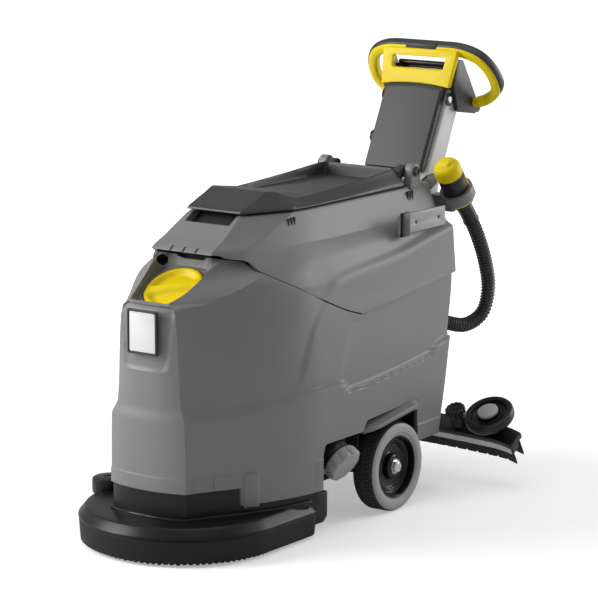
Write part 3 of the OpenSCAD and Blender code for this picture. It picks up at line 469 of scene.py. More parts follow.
def rear_turn(side, end, r, n=9, across=6):
    """Rounded rear corner, and the rear edge from it to the middle."""
    q = np.linspace(0, math.pi / 2, n)
    corner = np.stack([side - r + r * np.cos(q), end - r + r * np.sin(q)], 1)
    back = np.stack([(side - r) * np.linspace(1, 0, across)[1:], np.full(across - 1, end)], 1)
    return np.concatenate([corner, back])


def grown(p, amount):
    """Half outline moved outwards by amount, with both ends kept on the middle line."""
    tangent = np.gradient(p, axis=0)
    normal = np.stack([tangent[:, 1], -tangent[:, 0]], 1) / np.linalg.norm(tangent, axis=1)[:, None]
    normal[0], normal[-1] = (0, -1), (0, 1)
    p = p + normal * amount
    p[0, 0] = p[-1, 0] = 0
    return p


def whole(p, z, right=1.0):
    """Half outline and its mirror image, which is right times as wide, as one ring at height z."""
    p = np.concatenate([p, p[-2:0:-1] * [-right, 1]])
    return np.column_stack([p, np.full(len(p), z)])


def plate_edge(x, z):
    """Distance from the edge of the front plate's field, negative inside it; its lower corners are rounded."""
    half, bottom, r = 60 + (z - 400) * 0.12, 392, 16
    dx, dz = np.abs(x) - (half - r), bottom + r - z
    return np.hypot(np.maximum(dx, 0), np.maximum(dz, 0)) - r + np.minimum(np.maximum(dx, dz), 0)


def relief(x, y, z, nose):
    """How far the base's skin stands out of its plain form: ledge, plate's field, trough, side panel and hem."""
    top = ledge_top(y)
    out = -LEDGE_STEP * ease(top - ledge_run(y), top, z)
    out -= np.where(nose & (z < 530), PLATE_STEP * ease(0, 8, -plate_edge(x, z)), 0)
    u = np.clip((y - trough_front(z)) / (trough_back(z) - trough_front(z)), 0, 1)
    out -= np.where(nose, 0, TROUGH_STEP * ease(325, 370, z) * u ** 1.3 * (1 - ease(0.86, 1.0, u)))
    out -= np.where(nose, 0, PANEL_STEP * ease(-4, 5, y - panel_front(z)) * ease(4, 10, z - top))
    gap = ease(-438, -434, y) * (1 - ease(-289, -285, y))
    return out + HEM_STEP * (1 - ease(168.5, 173.5, z)) * (1 - gap)


def base_ring(z, inset=0.0, detail=1.0):
    """Outline of the base at height z, front centre round to front centre."""
    w, cx, rim = base_half(z), base_crease(z), base_rim(z)
    f, nose = FRONT_Y + base_front(z), base_nose(z)
    start, wide, end = FRONT_Y + base_start(z), base_wide(z), base_rear(z)
    side, r = w - base_side_in(z), 32
    a = np.linspace(0, 1, steps(14, detail), endpoint=False)
    front = np.stack([rim * a, f + nose * a ** 2.4], 1)
    y = start + (wide - start) * np.linspace(0, 1, steps(46, detail))
    t = np.clip((y - CREASE_Y) / (wide - CREASE_Y), 0, 1)
    flank = np.stack([cx + (w - cx) * np.sin(t * math.pi / 2) ** 1.1, y], 1)
    v = np.linspace(0, 1, steps(44, detail))[1:-1]
    flat = np.stack([w + (side - w) * v ** 1.6, wide + (end - r - wide) * v], 1)
    p = np.concatenate([front, facet((rim, f + nose), flank[0], steps(7, detail)), flank, flat,
                        rear_turn(side, end, r, steps(9, detail), steps(6, detail))])
    is_nose = np.arange(len(p)) < len(front)
    out = relief(p[:, 0], p[:, 1], np.full(len(p), z), is_nose) - inset
    return whole(grown(p, out[:, None]), z)


def hood_half(y, z):
    """Half width of the hood behind its front corner: low wall, rolled shoulder, steep upper band."""
    low, top = shoulder_low(y), shoulder_top(y)
    s = shoulder_turn(np.clip((z - low) / (top - low), 0, 1))
    return hood_low(z) * (1 - s) + hood_band(z) * s


def hood_flank_x(y, z):
    """Half width of the hood between its front corner and its widest place."""
    wide, fx, fy = base_wide(z), hood_facet_x(z), hood_facet_y(z)
    t = np.clip((y - fy) / (wide - fy), 0, 1)
    return fx + (hood_half(y, z) - fx) * np.sin(t * math.pi / 2) ** 0.9


def hood_ring(z, inset=0.0, detail=1.0):
    """Outline of the hood at height z, front centre round to front centre."""
    f, rim, fx, fy = hood_front(z), hood_rim(z), hood_facet_x(z), hood_facet_y(z)
    wide, end, r = base_wide(z), base_rear(z), 30
    n = steps(10, detail)
    front = np.stack([rim * np.linspace(0, 1, n, endpoint=False), np.full(n, f)], 1)
    y = fy + (wide - fy) * np.linspace(0, 1, steps(40, detail))
    flank = np.stack([hood_flank_x(y, z), y], 1)
    v = np.linspace(0, 1, steps(54, detail))[1:-1]
    y = wide + (end - r - wide) * v
    flat = np.stack([hood_half(y, z) - 2 * v ** 2, y], 1)
    p = np.concatenate([front, facet((rim, f), (fx, fy), steps(9, detail)), flank, flat,
                        rear_turn(hood_half(end - r, z) - 2, end, r, steps(9, detail), steps(6, detail))])
    return whole(grown(p, -inset), z)


LID_FRONT, LID_RIM, LID_HALF, LID_WIDE_Y = -357, 71, 126, -150.0
LID_FACET_X, LID_FACET_Y = 122.5, -240
VISOR_RUN = 3.6


def lid_ring(z, d, back):
    """Outline of the lid stepped in by d, ending at back."""
    f, rim = LID_FRONT + VISOR_RUN * d, LID_RIM + 0.1 * min(d, 26) - 0.9 * max(0, d - 26)
    fx, fy, wide, r = LID_FACET_X - d, LID_FACET_Y + 1.5 * d, LID_WIDE_Y, 24
    front = np.stack([rim * np.linspace(0, 1, 10, endpoint=False), np.full(10, f)], 1)
    t = np.linspace(0, 1, 16)
    flank = np.stack([fx + (LID_HALF - d - fx) * np.sin(t * math.pi / 2), fy + (wide - fy) * t], 1)
    v = np.linspace(0, 1, 30)[1:-1]
    flat = np.stack([LID_HALF - d - 2 * v, wide + (back - r - wide) * v], 1)
    p = np.concatenate([front, facet((rim, f), (fx, fy), 9), flank, flat, rear_turn(LID_HALF - 2 - d, back, r)])
    return whole(p, z)


SLOPE = math.atan2(78, 140)
CAP_AT = np.array([0, -509.4, 576.0])
CAP_BAR = math.radians(24)
CAP_FACE, CAP_DOME, CAP_HOLLOW = -21.6, 0.0004, 10.5
SLOPE_UP = np.array([0, math.cos(SLOPE), math.sin(SLOPE)])
SLOPE_OUT = np.array([0, -math.sin(SLOPE), math.cos(SLOPE)])
HATCH_FLOOR = ((-52, -74), (48, -74), (61, -38), (71, 20), (66, 50), (40, 70), (-40, 70), (-66, 54), (-73, 20),
               (-65, -38))
HATCH_RIM = ((-59, -83), (54, -82), (67, -38), (78, 20), (82, 66), (66, 116), (-74, 116), (-86, 70), (-80, 20),
             (-70, -38))
GRIP = rounded([(-43, 640), (-41, 607.5), (-22, 603.5), (30, 604), (38, 609), (42, 640)], 6)
GRIP_MIDDLE = np.array([-2, 612])


def on_slope(x, up, out=0.0):
    """Point on the filling slope: across, up the slope, and out of it."""
    return CAP_AT + np.array([x, 0, 0]) + up * SLOPE_UP + out * SLOPE_OUT


OVERFLOW_AT = on_slope(-68, 66, -12)
OVERFLOW_AXIS = (0.3, -0.76, 0.58)


def hatch_cutter(d):
    """Sunk hatch round the filling cap, with a sloped back wall, grown by d."""
    rings = []
    for outline, out in ((HATCH_FLOOR, -25.6 - d), (HATCH_RIM, 30)):
        p = np.array(outline, float)
        p = p + d * np.sign(p) * [1, 0.9]
        rings.append([on_slope(x, u, out) for x, u in rounded(p, 12)])
    return loft("hatch", rings)


# Inner wall of the wheel arches, and how far cutters reach past the machine's side
ARCH_X, BEYOND = 168, 300


def arch_cutters(d):
    """Both wheel arches, grown by d."""
    outline = rounded([(-268 - d, 60), (-268 - d, 168 + d), (-259 - d, 200 + d), (-113, 200 + d), (-100, 222 + d),
                       (110 + d, 232 + d), (110 + d, 60)], 9, 4)
    return [prism("arch", outline, side * (ARCH_X - d), side * BEYOND) for side, _ in SIDES]


def through(name, low, high):
    """Cutter right across the machine, over a rectangle in y and z."""
    return prism(name, oblong(low, high), -BEYOND, BEYOND)


def seam_prism(name, above, rise):
    """Everything above (or below) the seam between the tanks."""
    line = spline([(y, z + rise) for y, z in SEAM], 6)
    far = 900 if above else 250
    return prism(name, np.concatenate([line, [(345, far), (-700, far), (-700, line[0][1])]]), -320, 320)


# Sizes, colours and stage


class ScrubberSizes(bpy.types.PropertyGroup):
    """Sizes of the surface details"""
    seam_gap: bpy.props.FloatProperty(
        name="Seam gap", description="Gap between the two tanks", default=0.0024, min=0.0005, max=0.005,
        precision=4, unit="LENGTH")
    hose_pitch: bpy.props.FloatProperty(
        name="Hose pitch", description="Distance between hose ribs", default=0.0078, min=0.004, max=0.01,
        precision=4, unit="LENGTH")
    tread_bars: bpy.props.IntProperty(
        name="Tread bars", description="Bars round each tyre", default=60, min=20, max=120)
    bristle_tufts: bpy.props.IntProperty(
        name="Bristle tufts", description="Tufts in the brush's outer row", default=96, min=24, max=200)


def colour_property(name, *value):
    """Colour that a user can change."""
    return bpy.props.FloatVectorProperty(name=name, description=f"Colour of the {name.lower()}", subtype="COLOR",
                                         default=value, min=0, max=1)


class ScrubberColours(bpy.types.PropertyGroup):
    """Colours of the mouldings and fittings"""
    body: colour_property("Grey mouldings", 0.2, 0.2, 0.201)
    lid: colour_property("Dark mouldings", 0.029, 0.029, 0.03)
    black: colour_property("Black mouldings", 0.011, 0.011, 0.012)
    yellow: colour_property("Yellow mouldings", 0.84, 0.645, 0.0)
    light: colour_property("Light mouldings", 0.56, 0.565, 0.57)
    rubber: colour_property("Black rubber", 0.012, 0.012, 0.012)
    tyre: colour_property("Tyre walls", 0.38, 0.38, 0.383)
    tread: colour_property("Tyre treads", 0.03, 0.03, 0.031)
    bristle: colour_property("Bristles", 0.2, 0.009, 0.008)
    steel: colour_property("Steel", 0.55, 0.55, 0.56)
    plate: colour_property("Front plate", 0.78, 0.785, 0.79)
    rail: colour_property("Accessory rail", 0.34, 0.342, 0.345)


SENSOR, FOCAL_PIXELS, PICTURE_PIXELS = 36, 2887.77, 600
CAMERA_AT, CAMERA_DOWN, CAMERA_TURN = (3706.5, -5132.4, 1671.1), 10.9296, 36.1057
WORLD_FILL = 0.2
GLOSS_SHARE = 0.3
FLOOR_LIFT, FLOOR_NEAR, FLOOR_FAR = 0.38, 0.7, 2.6
FLOOR_X, FLOOR_Y, FLOOR_Z = (-9000, 9000), (-9000, 14000), -0.5
LAMPS = (("left_front", (-2300, -2300, 1900), 2.2, 112), ("right_rear", (1800, 2900, 1400), 2.0, 50),
         ("top", (200, -300, 3200), 2.6, 18), ("right", (2600, 1500, 2500), 2.4, 8))
LAMP_AIM = Vector((0, 0, 0.45))


def background_rays(tree):
    """1 for rays that see the background straight or through glass, and a share of it for reflections."""
    path = add_node(tree, "ShaderNodeLightPath")
    last = add_node(tree, "ShaderNodeMath", ((1, GLOSS_SHARE),), operation="MULTIPLY")
    connect(tree, (path, "Is Glossy Ray", last, 0))
    for kind in ("Is Camera Ray", "Is Transmission Ray"):
        more = add_node(tree, "ShaderNodeMath", operation="MAXIMUM")
        connect(tree, (last, "Value", more, 0), (path, kind, more, 1))
        last = more
    return last


class Piece:
    """Shared by every operator that builds a piece"""
    bl_options = {"REGISTER"}


class SCRUBBER_OT_stage(Piece, bpy.types.Operator):
    """Camera, pale floor and soft studio lamps"""
    bl_idname = "scrubber.stage"
    bl_label = "Stage"

    def execute(self, context):
        context.scene.view_settings.view_transform = "Standard"
        cam = add_object("camera", bpy.data.cameras.new("camera"))
        cam.data.sensor_width, cam.data.lens = SENSOR, FOCAL_PIXELS * SENSOR / PICTURE_PIXELS
        cam.data.clip_end = 60
        cam.location = to_row(CAMERA_AT)
        cam.rotation_euler = (math.radians(90 - CAMERA_DOWN), 0, math.radians(CAMERA_TURN))
        context.scene.camera = cam
        self.world(context.scene)
        self.floor()
        for name, at, size, watts in LAMPS:
            lamp = add_object(name, bpy.data.lights.new(name, "AREA"))
            lamp.data.shape, lamp.data.size, lamp.data.energy = "DISK", size, watts
            lamp.location = to_row(at)
            lamp.rotation_euler = (LAMP_AIM - lamp.location).to_track_quat("-Z", "Y").to_euler()
        mix_finishes()
        return {"FINISHED"}

    def world(self, scene):
        """White background that lights the scene less than it shows."""
        scene.world = bpy.data.worlds.new("studio")
        scene.world.use_nodes = True
        tree = scene.world.node_tree
        back = tree.nodes["Background"]
        back.inputs["Color"].default_value = (1, 1, 1, 1)
        level = add_node(tree, "ShaderNodeMapRange", (("To Min", WORLD_FILL), ("To Max", 1.0)))
        connect(tree, (background_rays(tree), "Value", level, "Value"), (level, "Result", back, "Strength"))

    def floor(self):
        """Pale floor that fades into the background."""
        mat, tree, bsdf = shader("pale_floor")
        noise = add_node(tree, "ShaderNodeTexNoise", (("Scale", 40),))
        tone = add_node(tree, "ShaderNodeMix", (("A", (0.9, 0.9, 0.9, 1)), ("B", (0.93, 0.93, 0.93, 1))),
                        data_type="RGBA")
        place = add_node(tree, "ShaderNodeNewGeometry")
        reach = add_node(tree, "ShaderNodeVectorMath", ((1, (0, 0, 0)),), operation="DISTANCE")
        far = add_node(tree, "ShaderNodeMapRange", (("From Min", FLOOR_NEAR), ("From Max", FLOOR_FAR),
                                                    ("To Min", FLOOR_LIFT), ("To Max", 1.0)),
                       interpolation_type="SMOOTHSTEP")
        lift = add_node(tree, "ShaderNodeMath", operation="MULTIPLY")
        connect(tree, (noise, "Fac", tone, "Factor"), (tone, "Result", bsdf, "Base Color"),
                (place, "Position", reach, 0), (reach, "Value", far, "Value"), (far, "Result", lift, 0),
                (background_rays(tree), "Value", lift, 1), (lift, "Value", bsdf, "Emission Strength"))
        bsdf.inputs["Roughness"].default_value = 0.9
        bsdf.inputs["Specular IOR Level"].default_value = 0.1
        bsdf.inputs["Emission Color"].default_value = (1, 1, 1, 1)
        obj = make_mesh("floor", [(x, y, FLOOR_Z) for x in FLOOR_X for y in FLOOR_Y], [(0, 2, 3, 1)])
        obj.data.materials.append(mat)


# Pieces


class SCRUBBER_OT_hose(Piece, bpy.types.Operator):
    """Ribbed drain hose from its barrel down to the base"""
    bl_idname = "scrubber.hose"
    bl_label = "Drain hose"

    def execute(self, context):
        step, stub, cuff_points = 1.55, 12, 38
        root, rib = 14.2, 3.2
        start, end = BARREL_AT - 16 * BARREL_UP, np.array([120, 312, 372.0])
        inner = [(156, 396, 606), (164, 424, 553), (169, 450, 490), (170, 464, 425), (164, 448, 368),
                 (148, 402, 345), (130, 350, 356)]
        line = spline([start, *inner, end], 12)
        path = even(np.concatenate([[start, start - BARREL_UP * stub], line[8:-4], [end + [0, stub, 0], end]]), step)
        pitch = context.scene.scrubber_sizes.hose_pitch / MM
        wave = 0.5 + 0.5 * np.cos(2 * math.pi * np.arange(len(path)) * step / pitch)
        obj = sweep("ribbed_hose", path, circle(1, 22), (1, 0, 0), 50, root + rib * wave ** 0.8)
        fit(obj, "chassis", "black_rubber", "hose", "drain_hose")
        row = to_row(path)
        cuff = sweep("hose_cuff", path[:cuff_points], circle(1, 28), (1, 0, 0), 50,
                     [18.6 - 0.02 * i + (1.2 if i > 33 else 0) for i in range(cuff_points)])
        fit(cuff, "chassis", "black_plastic", "black")
        return {"FINISHED"}


class SCRUBBER_OT_base(Piece, bpy.types.Operator):
    """Base tank with its ledge, wheel arches, hatch and fenders"""
    bl_idname = "scrubber.base"
    bl_label = "Base tank"

    def execute(self, context):
        self.shell()
        self.fenders()
        self.shade_liners()
        self.hem()
        return {"FINISHED"}

    def shell(self):
        """Hollow moulding, parted from the hood at the seam."""
        heights = levels((102, 165, 9), (165, 178, 1.5), (178, 280, 9), (280, 352, 2.5), (352, 515, 5),
                         (515, 545, 1.5), (545, 652, 5))
        wall = 6
        obj = loft("base_moulding", [base_ring(z) for z in heights], 30)
        inside = loft("inside", [base_ring(z, 7, 0.3) for z in (118, 200, 300, 345, 430, 515, 527, 540, 570, 600,
                                                                640, 660)])
        carve(inside, *arch_cutters(wall), through("rear", (102, 90), (400, 140)), hatch_cutter(wall),
              prism("grip_wall", 1.14 * (GRIP - GRIP_MIDDLE) + GRIP_MIDDLE, -470, -404, 1),
              prism("plate", oblong((-48, 420), (48, 528)), -640, -588, 1))
        carve(obj, seam_prism("above", True, -0.3), inside, *arch_cutters(0),
              through("notch", (-700, 60), (-474, 140)), through("rear", (109, 60), (420, 134)),
              prism("under", base_ring(112, 9, 0.4)[:, :2], 90, 112, 2), hatch_cutter(0),
              turned("pocket", [(68, -37), (68, -20), (0.01, -20), (0.01, -37)], CAP_AT, SLOPE_OUT, 96),
              turned("hole", [(12.2, -40), (12.2, 30), (0.01, 30), (0.01, -40)], OVERFLOW_AT, OVERFLOW_AXIS, 36),
              prism("plate", rounded(oblong((-39, 427), (39, 521)), 4), -640, -595, 1),
              turned("filter", [(37, -90), (37, 30), (0.01, 30), (0.01, -90)], (236, -200, 141), FILTER_AXIS),
              angle=30)
        carve(obj, prism("grip", GRIP, -470, -411, 1), angle=30)
        fit(obj, "chassis", "body_grey", "body", "base_tank")

    def fenders(self):
        """Sloped brow over each wheel: rows are y, inner x, top, outer x, edge and underside."""
        brow = [(-108, 210, 204, 214, 200, 192), (-94, 208, 210, 227, 205, 196), (-64, 206, 214, 232, 208.5, 199.5),
                (0, 206, 225, 232, 216.5, 207.5), (68, 206, 235.5, 232, 225, 216), (80, 208, 235, 230, 225, 214.5),
                (90, 208, 234.6, 226, 224, 212), (102, 206, 234, 218, 224, 212), (113, 204, 233, 208, 226, 214)]
        root = 192
        fender = loft("fender", [[(root, y, top), (in_x, y, top), (out_x, y, edge), (out_x, y, low), (root, y, low)]
                                 for y, in_x, top, out_x, edge, low in brow])
        fit(both_sides("fenders", soften(fender, 3, 3)), "chassis", "body_grey", "body")

    def shade_liners(self):
        """Near-black linings of the arches, the finger grip and the hole in the hatch: painted shade inside them."""
        # Near-black linings inside the wheel arches: painted shade
        room = prism("room", [(-109.5, 90), (-109.5, 196), (-98, 218.5), (107, 228.5), (107, 90)], 171, BEYOND)
        shade_liner = prism("shade_liner", [(-112, 104), (-112, 199.4), (-100, 221.4), (109.6, 231.4), (109.6, 104)], 168.4, 203)
        fit(both_sides("arch_shade_liners", carve(shade_liner, room)), "chassis", "black_plastic", "dark")
        # Near-black liner at the back of the finger grip and a cup in the overflow hole: painted shade
        grip = rounded([(-42.4, 611), (-41, 605), (-22, 601), (30, 601), (38, 606), (41, 611)], 4)
        shade_cup = turned("shade_cup", [(0.01, -22), (12, -22), (12, -3), (10.6, -3), (10.6, -20), (0.01, -20)],
                     OVERFLOW_AT, OVERFLOW_AXIS, 36)
        fit(joined("hatch_shade_liners", prism("shade_liner", grip, -417, -412.5, 1), shade_cup), "chassis", "black_plastic", "dark")

    def hem(self):
        """Tab and ribs on each side of the base's lower edge."""
        skin = base_ring(150)[:, :2]
        skin = skin[skin[:, 0] > 60]
        tab = skin[(skin[:, 1] > -471) & (skin[:, 1] < -434)]
        tab = soften(prism("tab", np.concatenate([tab + [1.3, -0.7], (tab - [4, -2])[::-1]]), 96.5, 170, 2), 1.2, 2)
        ribs = []
        for y in (-568, -528):
            x = float(np.interp(y, skin[:60, 1], skin[:60, 0]))
            ribs.append(sweep("rib", [(x, y, z) for z in (143, 150, 160, 168)], circle(1.8, 10), (1, 0, 0)))
        fit(both_sides("hem_tabs", joined("tabs", tab, *ribs)), "chassis", "body_grey", "body")


def groove_lines(line, r):
    """Cutters along a line of points and its mirror image."""
    return [sweep("line", [(side * x, y, z) for x, y, z in line], circle(r, 8), (1, 0, 0)) for side, _ in SIDES]


class SCRUBBER_OT_hood(Piece, bpy.types.Operator):
    """Waste tank hood with its shoulder, finger recess and hinge lugs"""
    bl_idname = "scrubber.hood"
    bl_label = "Waste tank hood"

    def execute(self, context):
        self.shell(context.scene.scrubber_sizes.seam_gap / MM)
        self.lip()
        self.fittings()
        self.vents()
        return {"FINISHED"}

    def shell(self, gap):
        """Hollow moulding with an open mouth, and a near-black liner in the finger recess as painted shade."""
        heights = np.append(levels((438, 612, 4), (612, 632, 1.5), (632, 686, 4)), (687.5, 689.2, 690))
        obj = loft("hood_moulding", [hood_ring(z, max(0, z - 686) ** 2 * 0.12) for z in heights], 30)
        inside = loft("inside", [hood_ring(z, 7, 0.3) for z in (430, 480, 530, 560, 590, 615, 630, 655, 684)])
        mouth = np.array([(x, min(max(y, -262), 190)) for x, y in hood_ring(690, 28, 0.4)[:, :2]])
        recess = np.array([[(-60, -392, 682), (62, -392, 682), (62, -340, 714), (-60, -340, 714)],
                           [(-54, -358, 650), (56, -358, 650), (56, -316, 673), (-54, -316, 673)]], float)
        centre = recess.mean((0, 1))
        carve(inside, loft("recess_wall", centre + (recess - centre) * [1.13, 1.4, 1.4]))
        carve(obj, seam_prism("below", False, gap), inside, prism("mouth", mouth, 678, 700, 2),
              loft("recess", recess), angle=30)
        carve(obj, *groove_lines([(hood_rim(z), hood_front(z), z) for z in np.linspace(620, 692, 19)], 1.4), angle=30)
        fit(obj, "tank", "body_grey", "body", "waste_tank")
        # Near-black liner at the back of the finger recess: painted shade
        shade_liner = loft("finger_recess_shade_liner", [
            [(-56, -372, 660), (58, -372, 660), (58, -330, 688), (-56, -330, 688)],
            [(-55, -364, 652), (57, -364, 652), (57, -320, 676), (-55, -320, 676)]])
        fit(shade_liner, "tank", "black_plastic", "dark")

    def lip(self):
        """Short ribs on the front lip."""
        heights = np.array([623.5, 626, 628.5, 631, 633.5])
        skin = np.stack([hood_front(heights), heights], 1)
        outline = np.concatenate([skin + [-1.5, 0.6], (skin + [6, -2])[::-1]])
        fit(joined("lip_ribs", *[prism("rib", outline, x, x + 2.4) for x in (-31, 2, 35)]), "tank", "body_grey", "lid")

    def fittings(self):
        """Lugs of the lid, bosses of the tank's hinge, and the suction inlet."""
        lug = rounded([(196, 684), (238, 684), (236, 728), (228, 741), (211, 742), (203, 732)], 8)
        fit(both_sides("lid_lugs", soften(prism("lug", lug, 108, 130), 3, 3)), "tank", "body_grey", "body")
        boss = soften(prism("boss", oblong((97, 271), (112, 294)), 660, 689, 2), 3, 3)
        fit(both_sides("hinge_bosses", boss), "tank", "body_grey", "body")
        spigot = turned("inlet_spigot", [(26, -18), (26, 3), (24.5, 4.5), (20, 4.5), (20, 36), (19, 38.5), (17, 38.5),
                                         (17, -18)], (-118, 298, 630), (0, 1, 0), 48)
        fit(spigot, "tank", "body_grey", "body")

    def vents(self):
        """Slanted ribs on the left of the upper band, in front and behind."""
        vents = []
        for y0, z0, half in ((-252, 667, hood_flank_x), (192, 670, hood_half)):
            for i in (-1, 0, 1):
                y, z = y0 + i * 9, z0 + i * 0.6
                x = float(half(y, z))
                slant = [(y - 2.2, z - 13), (y + 1, z - 13), (y + 2.4, z + 13), (y - 0.8, z + 13)]
                vents.append(prism("vent", rounded(slant, 1, 3), x - 4, x + 1.2))
        fit(joined("vent_ribs", *vents), "tank", "body_grey", "lid")


LID_Z, LID_RISE = 694, 30
TRAY_HALF, TRAY_BACK = 100.6, 184
lid_rim_z = smooth_table((-358, 733), (-262, 733), (-245, 730), (-222, 721), (-202, 715.5), (-180, 714), (-136, 715),
                         (-45, 719), (64, 725), (160, 731), (200, 732))
lid_hump_z = smooth_table((-275, 733), (-240, 731), (-205, 726.5), (-165, 720), (-130, 712), (-108, 706.5),
                          (-92, 704.6), (-70, 704))


def lid_top_z(x, y):
    """Top of the lid inside its rim: hump behind the visor, then the sunk tray."""
    edge = np.minimum(TRAY_HALF - np.abs(x), TRAY_BACK - y)
    tray = ease(2.2, 5.6, edge)
    hump = ease(-1, 46, TRAY_HALF - np.abs(x))
    inside = ease(-150, -100, y)
    share = hump * (1 - inside) + tray * inside
    return lid_rim_z(y) * (1 - share) + lid_hump_z(y) * share


class SCRUBBER_OT_lid(Piece, bpy.types.Operator):
    """Lid with a sloped visor and a sunk tray"""
    bl_idname = "scrubber.lid"
    bl_label = "Tray lid"

    def execute(self, context):
        rim = [(694, 2, 195), (694.6, 0.4, 196.6), (696, -0.2, 197), (698.4, 0.2, 196.8), (701, 2.2, 196),
               (705, 6, 194), (709, 10, 192), (713, 14, 190), (717, 18, 188), (721, 21.4, 186.4), (723.2, 23.2, 185.6),
               (724, 24.4, 184.8)]
        rings = []
        for z, d, back in rim:
            ring = lid_ring(z, d, back)
            ring[:, 2] = LID_Z + (z - LID_Z) * (lid_rim_z(ring[:, 1]) - LID_Z) / LID_RISE
            rings.append(ring)
        for d in (25.4, 26.6, 27.4, 28, 28.8, 30, 31, 31.8, 33, 36, 40, 44, 48, 52, 56, 60, 64, 68, 72, 76, 82, 90):
            ring = lid_ring(0, d, TRAY_BACK - 0.9 * (d - 25))
            ring[:, 2] = lid_top_z(ring[:, 0], ring[:, 1])
            rings.append(ring)
        obj = loft("lid_moulding", rings, 30)
        carve(obj, prism("hollow", lid_ring(LID_Z, 22, 175)[:, :2], 690, 699, 2), angle=30)
        line = [(LID_RIM + 0.1 * d, LID_FRONT + VISOR_RUN * d, LID_Z + (z - LID_Z) * 1.3 + 0.4) for z, d, _ in rim[2:]]
        carve(obj, *groove_lines(line, 1.3), angle=30)
        fit(obj, "lid", "lid_grey", "lid", "tank_lid")
        ear = rounded([(180, 702), (206, 712), (219, 711), (230, 718), (230, 731), (219, 737), (208, 735),
                       (180, 726)], 6)
        fit(both_sides("lid_ears", soften(prism("ear", ear, 84.5, 107), 2.5, 2)), "lid", "lid_grey", "lid")
        rib = rounded([(-345, 699), (-341, 698), (-326, 707), (-327, 709.4), (-331, 709)], 1.5, 3)
        fit(joined("visor_ribs", *[prism("rib", rib, x, x + 4) for x in (-22, 10, 42)]), "lid", "lid_grey", "lid")
        bolt = turned("lid_bolt", [(11, 22.3), (11, 26), (9.5, 27.2), (6.5, 27.2), (5.6, 25.4), (0.01, 25.4),
                                   (0.01, -25), (6, -25), (6, 22.3)], (108, 217, 724), (1, 0, 0), 40)
        fit(both_sides("lid_bolts", bolt), "tank", "steel", "black", "lid_pins")
        return {"FINISHED"}


class SCRUBBER_OT_front(Piece, bpy.types.Operator):
    """Fill cap with its finger bar, and the blank plate"""
    bl_idname = "scrubber.front"
    bl_label = "Fill cap and plate"

    def execute(self, context):
        turn = np.linspace(0, 2 * math.pi, 144, endpoint=False)
        rings = []
        for r in (0.01, 5, 10, 15, 20, 25, 30, 35, 40, 44, 48, 51, 54, 57, 59, 61, 62.6, 64, 65.2, 65.8):
            x, u = r * np.cos(turn), r * np.sin(turn)
            across = u * math.cos(CAP_BAR) - x * math.sin(CAP_BAR) - 3
            # Domed face with a rounded rim, and a hollow on each side of the finger bar
            out = CAP_FACE - CAP_DOME * r * r - 2.6 * max(0, (r - 61.5) / 4.3) ** 2
            out = out - CAP_HOLLOW * ease(6, 22, np.abs(across)) * (1 - ease(44, 60, r))
            rings.append([on_slope(a, b, c) for a, b, c in zip(x, u, out)])
        for r, h in ((66, -27), (66, -31), (65, -34), (62, -35.6), (43, -35.6), (43, -52), (0.01, -52)):
            rings.append([on_slope(r * math.cos(a), r * math.sin(a), h) for a in turn])
        fit(loft("fill_cap_moulding", rings, 40), "fill", "yellow_plastic", "yellow", "fill_cap")
        plate = soften(prism("blank_plate", rounded(oblong((-34, 432), (34, 516)), 4), -601.3, -597.3, 1), 1, 2)
        fit(plate, "chassis", "white_plate", "plate", "front_plate")
        plate_frame = prism("plate_frame", rounded(oblong((-39, 427), (39, 521)), 4), -603, -595.5, 1)
        carve(plate_frame, prism("hole", rounded(oblong((-35, 431), (35, 517)), 3), -640, -590, 1))
        fit(soften(plate_frame, 0.8, 1), "chassis", "black_plastic", "lid")
        return {"FINISHED"}


DECK_R, DECK_BACK, DECK_CORNER, DECK_RIGHT = 224.0, -268.0, 34.0, 1.04


def rays(a):
    """Unit directions in plan at the angles a."""
    return np.stack([np.cos(a), np.sin(a)], 1)


def deck_ring(e, z):
    """Deck outline stepped in by e: half round in front, straight behind, and a little wider on the right."""
    front = BRUSH_AT + (DECK_R - e) * rays(np.linspace(-math.pi / 2, 0, 64))
    corner = np.array([DECK_R - e - DECK_CORNER, DECK_BACK - e - DECK_CORNER])
    corner = corner + DECK_CORNER * rays(np.linspace(0, math.pi / 2, 9))
    return whole(np.concatenate([front, corner, [[0, DECK_BACK - e]]]), z, DECK_RIGHT)


TUFT_ROWS = ((199, 3), (189, 2), (176, 1), (160, 0), (142, 0), (124, 0))
TUFT_SIDES = 7


def tufts(count):
    """Points and faces of the bristles: rows of flaring tufts with ragged tips, count of them in the outer row."""
    s = TUFT_SIDES
    points, faces = [], []
    for row, (r, lean) in enumerate(TUFT_ROWS):
        n = max(24, int(count * r / TUFT_ROWS[0][0]))
        for i in range(n):
            a = 2 * math.pi * (i + 0.5 * (row % 2)) / n
            out = np.array([math.cos(a), math.sin(a)])
            base = len(points)
            for h, rad, shift in ((30, 3.0, 0), (12, 4.2, lean * 0.5), (0.6, 5.0, lean)):
                for j in range(s):
                    b = 2 * math.pi * j / s + i
                    x, y = BRUSH_AT + out * (r + shift) + rad * np.array([math.cos(b), math.sin(b)])
                    points.append((x, y, h + 0.5 * ((i * 7 + j * 3) % 5) * (h < 1)))
            for low in (base, base + s):
                faces += [(low + j, low + (j + 1) % s, low + s + (j + 1) % s, low + s + j) for j in range(s)]
            faces += [tuple(end + j for j in range(s)) for end in (base, base + 2 * s)]
    return points, faces


